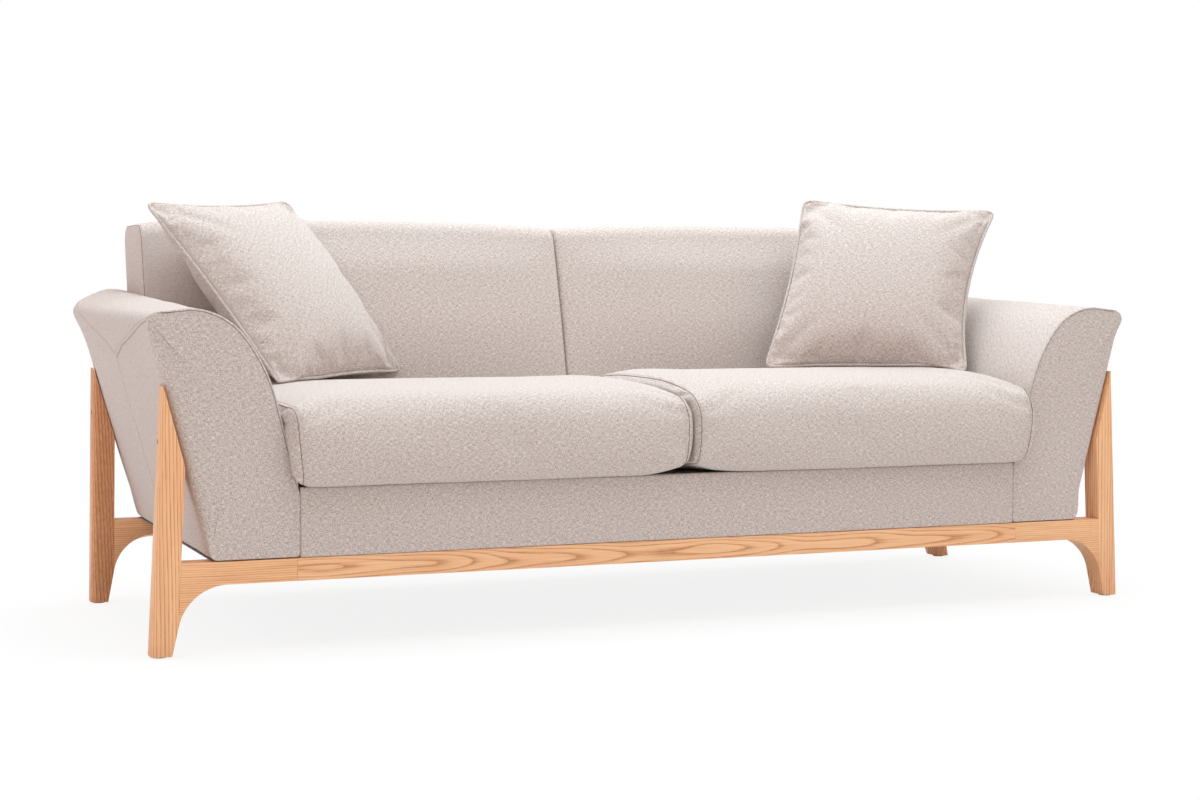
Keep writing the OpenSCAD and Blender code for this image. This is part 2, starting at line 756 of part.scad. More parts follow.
post_front_left();
post_front_right();
post_rear_left();
post_rear_right();
bracket_front_left();
bracket_front_right();
bracket_rear_left();
bracket_rear_right();
rail_front();
rail_rear();
frame_dowels();
foot_glides();
post_bolts();
post_inserts();
rail_screws();
base_board_front();
base_board_rear();
base_board_left();
base_board_right();
base_beam();
spring_batten();
corner_blocks();
springs_left();
springs_right();
spring_clips();
seat_deck();
apron_pad();
dust_cover();
arm_panel_front_left();
arm_panel_front_right();
arm_panel_rear_left();
arm_panel_rear_right();
arm_rail_top_left();
arm_rail_top_right();
arm_rail_side_left();
arm_rail_side_right();
arm_pad_left();
arm_pad_right();
back_rail_top();
back_rail_low();
back_uprights();
back_webbing();
back_pad_left();
back_pad_right();
back_panel();
seat_cushion_left();
seat_cushion_right();
seat_core_left();
seat_core_right();
seat_zip_left();
seat_zip_right();
scatter_cushion_left();
scatter_cushion_right();
scatter_filling_left();
scatter_filling_right();
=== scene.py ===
"""Sofa with wooden legs: ash frames, an upholstered body, loose seat and scatter cushions.

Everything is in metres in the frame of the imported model: X along the sofa, the sofa faces -Y,
Z up from the floor.
"""

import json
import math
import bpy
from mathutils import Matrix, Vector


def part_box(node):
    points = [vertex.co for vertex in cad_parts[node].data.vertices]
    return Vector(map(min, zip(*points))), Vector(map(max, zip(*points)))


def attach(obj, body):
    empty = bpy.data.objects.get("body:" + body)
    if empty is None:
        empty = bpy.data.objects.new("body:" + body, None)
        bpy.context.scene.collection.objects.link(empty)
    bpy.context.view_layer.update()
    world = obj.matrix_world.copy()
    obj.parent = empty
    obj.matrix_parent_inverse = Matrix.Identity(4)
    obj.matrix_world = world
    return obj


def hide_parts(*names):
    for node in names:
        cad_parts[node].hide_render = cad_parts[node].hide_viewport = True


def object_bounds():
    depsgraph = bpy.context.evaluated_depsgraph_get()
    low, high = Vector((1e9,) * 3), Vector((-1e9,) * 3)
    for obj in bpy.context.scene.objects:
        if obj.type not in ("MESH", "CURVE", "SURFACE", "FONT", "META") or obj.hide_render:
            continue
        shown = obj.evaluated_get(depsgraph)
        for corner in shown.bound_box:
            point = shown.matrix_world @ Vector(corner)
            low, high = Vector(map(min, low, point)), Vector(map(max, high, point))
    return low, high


bl_info = {
    "name": "Sofa with Wooden Legs",
    "version": (1, 0, 0),
    "blender": (4, 5, 0),
    "location": "3D Viewport > Sidebar > Sofa",
    "description": "Builds a sofa with splayed ash frames, flared arms and loose cushions",
    "category": "Object",
}

import bmesh
import bpy
import numpy as np
from mathutils import Matrix
from mathutils.bvhtree import BVHTree

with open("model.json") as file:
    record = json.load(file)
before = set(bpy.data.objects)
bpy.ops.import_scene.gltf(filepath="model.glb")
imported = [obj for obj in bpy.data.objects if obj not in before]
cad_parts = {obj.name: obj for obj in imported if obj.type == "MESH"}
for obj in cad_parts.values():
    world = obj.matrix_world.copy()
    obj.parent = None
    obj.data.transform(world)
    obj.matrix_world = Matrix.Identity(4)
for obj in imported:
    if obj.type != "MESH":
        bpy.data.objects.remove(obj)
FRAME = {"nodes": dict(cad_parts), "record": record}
CAD_BOUNDS = [list(corner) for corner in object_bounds()]
RECORD = FRAME["record"]

FRONT_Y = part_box("post_front_right")[0][1]
RAIL_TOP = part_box("rail_front")[1][2]
SEAT_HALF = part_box("arm_pad_right")[0][0]
ARM_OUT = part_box("arm_pad_right")[1][0]
ARM_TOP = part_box("arm_pad_right")[1][2]
DECK_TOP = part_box("seat_deck")[1][2]
BACK_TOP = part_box("back_pad_right")[1][2]
BACK_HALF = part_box("back_pad_right")[1][0]
PANEL_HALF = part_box("back_panel")[1][0]
PANEL_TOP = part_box("back_panel")[1][2]
PANEL_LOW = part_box("back_panel")[0][2]
REAR_RAKE = math.tan(math.radians(12.5))
REAR_FLOOR_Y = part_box("back_panel")[1][1] - PANEL_TOP * REAR_RAKE
BACK_RAKE = math.tan(math.radians(15.5))
BACK_FOOT_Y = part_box("back_pad_right")[0][1]
SEAT_RAKE = 0.6 * BACK_RAKE
CLEARANCE = 0.0012
EASED_EDGE = 0.0016
SIDES = ((-1, "left"), (1, "right"))
# Radius of the thin dark cords of painted shade laid along seams.
SEAM_SHADE_RADIUS = 0.0008


# ---------------------------------------------------------------- small maths


def smooth(a, b, x):
    """Eased step: 0 below a, 1 above b, 3t^2 - 2t^3 between."""
    t = np.clip((np.asarray(x, float) - a) / (b - a), 0, 1)
    return t * t * (3 - 2 * t)


def arc(centre, radius, start, end, count):
    """Points on a circular arc from start to end degrees."""
    a = np.radians(np.linspace(start, end, count))
    return np.stack([centre[0] + radius * np.cos(a), centre[1] + radius * np.sin(a)], 1)


def unit(v):
    """Vectors scaled to length 1."""
    return v / np.maximum(np.linalg.norm(v, axis=-1, keepdims=True), 1e-12)


def ripple(p, size, seed=0.0):
    """Slow waviness between -1 and 1: a sum of three crossed sines of the position."""
    k = 2 * math.pi / size
    x, y, z = p[..., 0] + seed, p[..., 1] - 0.37 * seed, p[..., 2] + 0.61 * seed
    return (
        np.sin(k * (x + 0.6 * z) + 1.7 * np.sin(0.7 * k * y))
        + np.sin(k * (0.8 * y - 0.9 * z) + 1.3 * np.sin(0.6 * k * x))
        + np.sin(k * (0.5 * x + 1.1 * y + 0.4 * z))
    ) / 3


def distances(path):
    """Distance of each point of a path from its first one, measured along the path."""
    return np.append(0, np.cumsum(np.linalg.norm(np.diff(path, axis=0), axis=1)))


def sampled(at, s, values):
    """Rows of values, given at distances s, read at other distances."""
    return np.stack([np.interp(at, s, values[:, i]) for i in range(values.shape[1])], -1)


def wrapped(grid):
    """A grid with its first column repeated after its last."""
    return np.concatenate([grid, grid[:, :1]], 1)


def layouts(grid, across, along, plane):
    """Cloth layouts of a shell: (across, along) on its swept sides, a plane on its ends."""
    return np.stack(np.broadcast_arrays(across, along), -1), wrapped(grid)[..., plane]


def rising(z):
    """Share of the arm's rise towards the rear that is felt at height z."""
    return smooth(0.40, 0.62, z)


def rear_y(z):
    """Raked outer plane of the back and of the arms' rear ends: y = floor line + z tan(rake)."""
    return REAR_FLOOR_Y + z * REAR_RAKE


class Outline:
    """A closed outline in a plane, measured by the distance s along it, walked clockwise."""

    def __init__(self, points, blur=0.003, step=0.001):
        p = np.vstack([points, points[:1]])
        s = distances(p)
        n = int(s[-1] / step)
        even = np.linspace(0, s[-1], n, endpoint=False)
        q = sampled(even, s, p)
        freq = np.fft.rfftfreq(n, step)
        keep = np.exp(-2 * (math.pi * freq * blur) ** 2)
        q = np.stack([np.fft.irfft(np.fft.rfft(q[:, i]) * keep, n) for i in range(2)], 1)
        p = np.vstack([q, q[:1]])
        self.s = distances(p)
        self.length = self.s[-1]
        t = unit(np.roll(q, -1, 0) - np.roll(q, 1, 0))
        self.p, self.n = p, np.vstack([t, t[:1]])[:, ::-1] * [-1, 1]

    def at(self, s):
        """Points and outward normals at distances s."""
        s = np.mod(s, self.length)
        return sampled(s, self.s, self.p), unit(sampled(s, self.s, self.n))

    def nearest(self, point):
        """Distance s of the point on the outline that is nearest to a given one."""
        return self.s[np.argmin(np.linalg.norm(self.p - np.asarray(point), axis=1))]


# ---------------------------------------------------------------- meshes


def link(name, data):
    """A new object at the origin with that mesh, light or camera."""
    obj = bpy.data.objects.new(name, data)
    bpy.context.scene.collection.objects.link(obj)
    return obj


def shade(mesh, material):
    """Smooth faces and one material."""
    mesh.polygons.foreach_set("use_smooth", [True] * len(mesh.polygons))
    mesh.materials.append(material)


def made(name, verts, faces, material, uv=None):
    """A mesh with smooth faces, one material and, where it is given, a layout for the cloth."""
    mesh = bpy.data.meshes.new(name)
    mesh.from_pydata(verts.tolist(), [], faces)
    if uv is not None:
        layer = mesh.uv_layers.new(name="cloth")
        layer.data.foreach_set("uv", np.array([x for c in uv for x in c], float).ravel())
    shade(mesh, material)
    return mesh


def mesh_from(name, verts, faces, material, uv=None):
    """An object from points and faces of three or four sides, turned to face outwards."""
    verts = np.asarray(verts, float)
    tri = np.array([f[:3] for f in faces])
    quad = np.array([f if len(f) == 4 else (f[0], f[2], f[2], f[2]) for f in faces])
    halves = verts[tri], verts[quad[:, [0, 2, 3]]]
    volume = sum(np.einsum("ij,ij->", t[:, 0], np.cross(t[:, 1], t[:, 2])) for t in halves)
    if volume < 0:
        faces = [f[::-1] for f in faces]
        uv = None if uv is None else [c[::-1] for c in uv]
    mesh = made(name, verts, faces, material, uv)
    mesh.update()
    return link(name, mesh)


def shell(name, rows, material, uv, ends=(0, 0)):
    """Closed surface from a grid of rows whose columns wrap round and whose end rows are poles.

    rows is (r, c, 3). uv holds two layouts of (r, c + 1, 2): one for the swept sides and one for
    the end faces; ends says how many rows at the start and at the end belong to those.
    """
    r, c = rows.shape[:2]
    verts = np.vstack([rows[0, :1], rows[1:-1].reshape(-1, 3), rows[-1, :1]])
    poles = {0: 0, r - 1: len(verts) - 1}
    faces, corners = [], []

    def ring(j):
        return np.full(c, poles[j]) if j in poles else 1 + (j - 1) * c + np.arange(c)

    for j in range(r - 1):
        layout = uv[1] if j < ends[0] or j >= r - ends[1] else uv[0]
        low, top = ring(j), ring(j + 1)
        t = np.stack([layout[j, :-1], layout[j, 1:], layout[j + 1, 1:], layout[j + 1, :-1]], 1)
        f = np.stack([low, np.roll(low, -1), np.roll(top, -1), top], 1)
        if j == 0:
            f, t = f[:, [0, 2, 3]], t[:, [0, 2, 3]]
        elif j == r - 2:
            f, t = f[:, :3], t[:, :3]
        faces += [tuple(x) for x in f.tolist()]
        corners += [tuple(map(tuple, x)) for x in t.tolist()]
    return mesh_from(name, verts, faces, material, corners)


def strip(name, rows, material, closed=False):
    """Tube-like surface: rows of cross-sections whose columns wrap.

    The last row joins the first one if it is closed; otherwise it has two flat ends.
    """
    r, c = rows.shape[:2]
    i, k = np.arange(c), (np.arange(c) + 1) % c
    faces, corners = [], []
    along = distances(rows[:, 0])
    around = distances(np.append(rows[r // 2], rows[r // 2, :1], 0))
    last_step = 0.004
    for j in range(r if closed else r - 1):
        m = (j + 1) % r
        f = np.stack([j * c + i, j * c + k, m * c + k, m * c + i], 1)
        a, b = along[j], along[j + 1] if j + 1 < r else along[j] + last_step
        faces += [tuple(x) for x in f.tolist()]
        corners += [
            ((a, around[x]), (a, around[x + 1]), (b, around[x + 1]), (b, around[x])) for x in i]
    if not closed:
        faces += [tuple(i[::-1]), tuple((r - 1) * c + i)]
        corners += [tuple((0.0, 0.0) for _ in i)] * 2
    return mesh_ngon(name, rows.reshape(-1, 3), faces, material, corners)


def mesh_ngon(name, verts, faces, material, uv=None):
    """As mesh_from, for faces with any number of sides; bmesh makes their normals agree."""
    mesh = made(name, verts, [tuple(int(x) for x in f) for f in faces], material, uv)
    outwards(mesh)
    return link(name, mesh)


def outwards(mesh):
    """Recalculates the normals of a closed mesh so that its faces point outwards."""
    bm = bmesh.new()
    bm.from_mesh(mesh)
    bmesh.ops.recalc_face_normals(bm, faces=bm.faces)
    bm.to_mesh(mesh)
    bm.free()
    mesh.update()


def tube(name, path, radius, material, closed=False, sides=10):
    """A round cord along a path: circles across the path's direction."""
    nxt = np.roll(path, -1, 0) - np.roll(path, 1, 0)
    if not closed:
        nxt[0], nxt[-1] = path[1] - path[0], path[-1] - path[-2]
    t = unit(nxt)
    up = unit(np.cross(t, unit(path - path.mean(0)) + 1e-6))
    side = np.cross(t, up)
    a = np.linspace(0, 2 * math.pi, sides, endpoint=False)[None, :, None]
    rows = path[:, None] + radius * (np.cos(a) * up[:, None] + np.sin(a) * side[:, None])
    return strip(name, rows, material, closed)


def stitches(name, path, normal, material):
    """Top stitching: short slim threads, pointed at both ends, one per pitch along a path."""
    pitch, length, radius = 0.0045, 0.0032, 0.00045
    s = distances(path)
    mid = np.arange(pitch, s[-1] - pitch, pitch)
    n = unit(sampled(mid, s, normal))
    a, b = sampled(mid - length / 2, s, path), sampled(mid + length / 2, s, path)
    side = np.cross(unit(b - a), n)
    rings = []
    for f in (0.2, 0.8):
        c = a + f * (b - a) + n * radius * 0.6
        for h, v in ((0, 1), (1, 0), (0, -1), (-1, 0)):
            rings.append(c + radius * (h * side + v * n))
    verts = np.stack([a - n * radius, b - n * radius] + rings, 1).reshape(-1, 3)
    one = []
    for i in range(4):
        k = (i + 1) % 4
        one += [(0, 2 + k, 2 + i), (1, 6 + i, 6 + k), (2 + i, 2 + k, 6 + k, 6 + i)]
    faces = [tuple(10 * j + x for x in f) for j in range(len(mid)) for f in one]
    return mesh_ngon(name, verts, faces, material)


def finish(obj, body, nodes=()):
    """Rides a piece on its body and hides the parts it stands for, if any."""
    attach(obj, body)
    if nodes:
        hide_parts(*nodes)
    return obj


# ---------------------------------------------------------------- shader writing


def operator(op, swapped=False):
    """A method of Val that adds one Math node."""
    def method(self, other):
        return self.net.math(op, *((other, self) if swapped else (self, other)))

    return method


class Val:
    """A shader socket that takes part in Python sums; each operator adds a Math node."""

    __add__, __radd__ = operator("ADD"), operator("ADD", swapped=True)
    __sub__ = operator("SUBTRACT")
    __mul__ = operator("MULTIPLY")
    __truediv__ = operator("DIVIDE")

    def __init__(self, net, socket):
        self.net, self.socket = net, socket

    def out(self, index):
        """Another output of the same node."""
        return Val(self.net, self.socket.node.outputs[index])


class Net:
    """The node tree of one material or world."""

    def __init__(self, owner):
        owner.use_nodes = True
        self.owner, self.tree = owner, owner.node_tree
        self.tree.nodes.clear()

    def node(self, kind, inputs=None, out=0, **settings):
        """Adds a node; its settings come first, then the values or links of its sockets."""
        n = self.tree.nodes.new("ShaderNode" + kind)
        for key, value in settings.items():
            setattr(n, key, value)
        for key, value in (inputs or {}).items():
            if isinstance(value, Val):
                self.tree.links.new(value.socket, n.inputs[key])
            else:
                n.inputs[key].default_value = value
        return Val(self, n.outputs[out])

    def math(self, op, *args, clamp=False):
        return self.node("Math", dict(enumerate(args)), operation=op, use_clamp=clamp)

    def coords(self):
        """Position in the object's own axes."""
        return self.node("TexCoord", out="Object")

    def scaled(self, vector, scale, offset=(0, 0, 0), turn=(0, 0, 0)):
        """Vector scaled, turned and then moved by a Mapping node."""
        inputs = {"Vector": vector, "Scale": scale, "Location": offset, "Rotation": turn}
        return self.node("Mapping", inputs)

    def noise(self, vector, scale, detail=2.0, rough=0.5):
        """Noise whose scale is one number, or one for each direction."""
        if isinstance(scale, tuple):
            vector, scale = self.scaled(vector, scale), 1.0
        inputs = {"Vector": vector, "Scale": scale, "Detail": detail, "Roughness": rough}
        return self.node("TexNoise", inputs)

    def ramp(self, fac, stops):
        """The colour that goes with fac, between stops of a position and a colour."""
        ramp = self.node("ValToRGB", {"Fac": fac})
        elements = ramp.socket.node.color_ramp.elements
        while len(elements) < len(stops):
            elements.new(0.5)
        for element, (position, colour) in zip(elements, stops):
            element.position, element.color = position, (*colour, 1)
        return ramp

    def curve(self, fac, stops):
        """The number that goes with fac, between stops of a position and a number."""
        grey = self.ramp(fac, [(position, (value,) * 3) for position, value in stops])
        return self.node("SeparateColor", {"Color": grey})

    def mix(self, fac, a, b, blend="MIX"):
        """Colours a and b mixed by a factor."""
        a, b = (c if isinstance(c, Val) else (*c, 1) for c in (a, b))
        return self.node("Mix", {0: fac, 6: a, 7: b}, 2, data_type="RGBA", blend_type=blend)

    def bump(self, height, strength, distance):
        return self.node("Bump", {"Strength": strength, "Distance": distance, "Height": height})

    def surface(self, **inputs):
        """The Principled shader, with its output."""
        names = {k.replace("_", " "): v for k, v in inputs.items()}
        self.output(self.node("BsdfPrincipled", names))
        return self.owner

    def output(self, shader, kind="Material"):
        out = self.tree.nodes.new("ShaderNodeOutput" + kind)
        self.tree.links.new(shader.socket, out.inputs["Surface"])


def weave(name, pale, dark, pitch):
    """Melange cloth: pale and taupe yarns of uneven colour crossing in a plain weave.

    The uneven colour is noise drawn out along each yarn's own direction; the yarns' height is
    the product of two sines at the pitch. The colour is darkened where the yarns dip, painted
    shade between the yarns.
    """
    net = Net(bpy.data.materials.new(name))
    uv = net.node("UVMap", uv_map="cloth")
    width, warp_run, weft_run, slub = 1 / 0.0011, 1 / 0.0060, 1 / 0.0080, 1 / 0.0014
    melange = (
        net.noise(uv, (width, warp_run, 1), 1.0) * 0.34
        + net.noise(uv, (weft_run, width, 1), 1.0) * 0.34
        + net.noise(uv, (slub, slub, 1), 1.0) * 0.32
        + (net.noise(uv, 170.0) - 0.5) * 0.08
    )
    u = net.node("SeparateXYZ", {"Vector": uv})
    warp, weft = (
        net.math("ABSOLUTE", net.math("SINE", c * (math.pi / pitch))) for c in (u, u.out(1)))
    yarn = warp * weft
    tone = net.ramp(melange, [(0.43, dark), (0.57, pale)])
    # Painted shade between the yarns: the colour falls to 0.86 where the yarns dip.
    depth = net.math("MULTIPLY_ADD", yarn, 0.22, 0.86)
    grey = net.node("CombineColor", {0: depth, 1: depth, 2: depth})
    return net.surface(
        Base_Color=net.mix(1.0, tone, grey, "MULTIPLY"), Roughness=0.92,
        Normal=net.bump(yarn + melange * 1.6, 0.55, 0.0006),
        Sheen_Weight=0.25, Sheen_Roughness=0.5, Specular_IOR_Level=0.2,
    )


def ash(name, grain, settings, seed, centre, pith, ring, lean, wander):
    """Lacquered ash: growth rings round a slanting axis, pores drawn out along the piece.

    grain is the piece's long direction, "X" or "Z"; pith is the axis, measured from the piece's
    centre across the grain; ring is the spacing of the growth rings; lean is how far the piece
    leans to the rear over its length, which also darkens it with painted shade; wander is how far
    the rings stray.
    """
    base_tone, painted_shade_per_lean = 0.13, 1.6
    net = Net(bpy.data.materials.new(name))
    turn = (0, 0, 0) if grain == "X" else (0, math.pi / 2, 0)
    own = net.scaled(net.coords(), (1, 1, 1), tuple(-c for c in centre))
    own = net.scaled(own, (1, 1, 1), turn=turn)
    p = net.scaled(own, (1, 1, 1), (seed * 3.1, seed * 0.13, -seed * 0.07))
    x = net.node("SeparateXYZ", {"Vector": own})
    y, z = (x.out(i) - pith[i - 1] for i in (1, 2))
    y = y - x * lean
    bend = net.noise(p, (2.4, 8, 8))
    radius = net.math("SQRT", y * y + z * z * 1.2) + bend * wander + x * wander
    early = net.curve(
        net.math("FRACT", radius / ring),
        [(0.0, 1), (0.12, 0.7), (0.32, 0.2), (0.85, 0.03), (0.97, 0.4), (1.0, 1)],
    )
    fibre = net.noise(p, (9, 360, 360), 3.0, 0.65)
    pore = net.curve(net.noise(p, (60, 1500, 1500), 1.0), [(0.56, 0), (0.66, 1)]) * early
    broad = net.noise(p, (1.5, 14, 14))
    tone = early * 0.62 + (fibre - 0.5) * 1.10 + (broad - 0.5) * 0.5 + pore * 0.35
    stops = zip((0.0, 0.38, 0.95), (settings.ash_pale, settings.ash_mid, settings.ash_dark))
    return net.surface(
        # Pieces that lean, the rear posts, are darkened by painted shade, 1.6 times their lean.
        Base_Color=net.ramp(tone + base_tone + painted_shade_per_lean * lean, list(stops)),
        Roughness=0.42 + early * 0.1, Normal=net.bump(fibre * 0.4 - pore * 0.8, 0.25, 0.0004),
        Coat_Weight=0.12, Coat_Roughness=0.35,
    )


def plain(name, colour, rough, scale, depth, metal=0.0, stretch=(1, 1, 1)):
    """A quiet finish: one colour made uneven by noise, which also gives a little relief."""
    net = Net(bpy.data.materials.new(name))
    n = net.noise(net.scaled(net.coords(), stretch), scale, 4.0, 0.6)
    return net.surface(
        Base_Color=net.mix(n, tuple(c * 0.72 for c in colour), colour),
        Roughness=rough + (n - 0.5) * 0.2, Metallic=metal, Normal=net.bump(n, 0.4, depth),
    )


# ---------------------------------------------------------------- settings


def length(name, text, default):
    return bpy.props.FloatProperty(
        name=name, description=text, default=default, min=0.0, unit="LENGTH", precision=4)


def number(name, text, default):
    return bpy.props.FloatProperty(name=name, description=text, default=default, precision=3)


def colour(name, text, default):
    return bpy.props.FloatVectorProperty(
        name=name, description=text, default=default, subtype="COLOR", size=3, min=0.0, max=1.0)


class SofaFinishSettings(bpy.types.PropertyGroup):
    """Colours and yarn of the sofa's finishes."""

    yarn_pitch: length("Yarn pitch", "Spacing of the cloth's yarns", 0.0021)
    yarn_pale: colour("Pale yarn", "Colour of the cloth's pale yarns", (0.78, 0.70, 0.66))
    yarn_dark: colour("Dark yarn", "Colour of the cloth's taupe yarns", (0.44, 0.35, 0.315))
    thread: colour("Thread", "Colour of the top stitching", (0.60, 0.52, 0.48))
    ash_pale: colour("Pale ash", "Colour of the ash between its rings", (0.91, 0.545, 0.30))
    ash_mid: colour("Ash", "Main colour of the ash", (0.82, 0.415, 0.20))
    ash_dark: colour("Dark ash", "Colour of the ash's rings and pores", (0.46, 0.18, 0.075))


class SofaArmSettings(bpy.types.PropertyGroup):
    """Shape of the two upholstered arms."""

    crest_in: length("Crest", "Distance of the crest from the arm's outside", 0.076)
    roll_radius: length("Roll", "Radius of the arm's roll", 0.125)
    fall_radius: length("Fall", "Radius of the gentler curve under the roll", 0.330)
    corner_radius: length("Corner", "Radius of the outer top corner", 0.022)
    rise: length("Rise", "How much higher the arm's top is at the rear", 0.030)
    edge: length("Sewn edge", "Roundness of the sewn edges", 0.006)
    soft_edge: length("Soft edge", "Roundness of the outer corners, which have no seam", 0.027)
    flap_y: length("Flap", "Distance of the flap's point behind the front", 0.44)
    flap_z: length("Flap height", "Height of the flap's point", 0.53)


class SofaBackSettings(bpy.types.PropertyGroup):
    """Shape of the upholstered back."""

    bulge: length("Bulge", "How far the back stands in front of its seams", 0.028)
    front_radius: length("Front radius", "Roundness of the top's front edge", 0.036)
    rear_radius: length("Rear radius", "Roundness of the top's rear edge", 0.046)
    edge: length("Sewn edge", "Roundness next to the seams", 0.010)


class SofaSeatSettings(bpy.types.PropertyGroup):
    """Shape of the loose seat cushions."""

    crown: length("Crown", "Rise of the top between its edges", 0.012)
    crown_right: length("Extra crown", "Further rise of the right cushion", 0.013)
    edge_inner: length("Inner edge", "Edge radius at the right cushion's inner end", 0.014)
    bulge: length("Bulge", "How far the left cushion's end stands into the right one's", 0.008)
    rim: length("Rim", "Height kept at the ends that stand full", 0.012)
    meet: length("Meeting line", "Where the cushions meet, right of the middle", 0.005)
    thickness: length("Thickness", "Thickness at the border", 0.150)
    edge: length("Edge", "Roundness of the two ends", 0.026)
    pressure: number("Pressure", "Pressure of the filling in the cloth simulation", 4.0)


class SofaScatterSettings(bpy.types.PropertyGroup):
    """Shape of the two piped scatter cushions."""

    size: length("Size", "Distance between neighbouring corners", 0.440)
    filling: length("Filling", "Thickness in the middle", 0.150)
    pull: length("Pull", "How far the left cushion's sides pull in between its corners", 0.012)
    pull_outer: length("Outer pull", "How far the right cushion's outer side pulls in", 0.030)
    sag: length("Sag", "How far the rear side sags on to the seat", 0.040)
    piping: length("Piping", "Radius of the piping", 0.0034)
    pressure: number("Pressure", "Pressure of the filling in the cloth simulation", 3.0)


class SofaStageSettings(bpy.types.PropertyGroup):
    """Camera and light."""

    key: number("Key light", "Power of the large light above, in watts", 108.0)
    side: number("Side light", "Power of the light on the left, in watts", 19.0)
    fill: number("Fill light", "Strength of the surroundings", 0.78)


# ---------------------------------------------------------------- finishes


def once(name, make, *values):
    """A finish that is made at its first use."""
    if name not in bpy.data.materials:
        make(name, *values)
    return bpy.data.materials[name]


def cloth(scene):
    """The sofa's cloth."""
    s = scene.sofa_finish
    return once("melange_cloth", weave, tuple(s.yarn_pale), tuple(s.yarn_dark), s.yarn_pitch)


def thread(scene):
    """Sewing thread."""
    return once("sewing_thread", plain, tuple(scene.sofa_finish.thread), 0.7, 900.0, 0.0001)


def crease(scene):
    """Painted shade: dark cloth laid in the depth of a seam, where its shade falls."""
    dark = tuple(c * 0.70 for c in scene.sofa_finish.yarn_dark)
    return once("seam_crease", plain, dark, 0.95, 900.0, 0.0001)


# ---------------------------------------------------------------- arms


def arm_inner(a, z):
    """X of an arm's inner face at heights z."""
    outline = arm_outline(a)
    inner = outline[:np.argmax(outline[:, 1])]
    return np.interp(z, inner[4:, 1], inner[4:, 0])


def arm_outline(a):
    """Section of the right arm in X and Z, walked from its inner foot up, over and down outside."""
    crest = ARM_OUT - a.crest_in
    roll = np.array([crest, ARM_TOP - a.roll_radius])
    turn, lean_in, lean_out = math.radians(52), math.radians(14), math.radians(14.34)
    fall = roll + (a.fall_radius - a.roll_radius) * np.array([math.sin(turn), -math.cos(turn)])
    corner = np.array([ARM_OUT - a.corner_radius, ARM_TOP - 0.006 - a.corner_radius])
    low = fall + a.fall_radius * np.array([-math.cos(lean_in), math.sin(lean_in)])
    kink = low[1] - (low[0] - SEAT_HALF) / math.tan(lean_in)
    foot = RAIL_TOP + 0.0016
    slope = (corner[1] - foot) * math.tan(lean_out)
    side_x = corner[0] + a.corner_radius / math.cos(lean_out) - slope
    out_r = 0.012
    return np.vstack([
        arc((SEAT_HALF + 0.004, foot + 0.004), 0.004, 270, 180, 5),
        [[SEAT_HALF, kink]],
        arc(fall, a.fall_radius, 166, 142, 24),
        arc(roll, a.roll_radius, 142, 90, 30),
        arc(corner, a.corner_radius, 88, -14.34, 16),
        arc((side_x - out_r * 1.1, foot + out_r), out_r, -14.34, -90, 8),
    ])


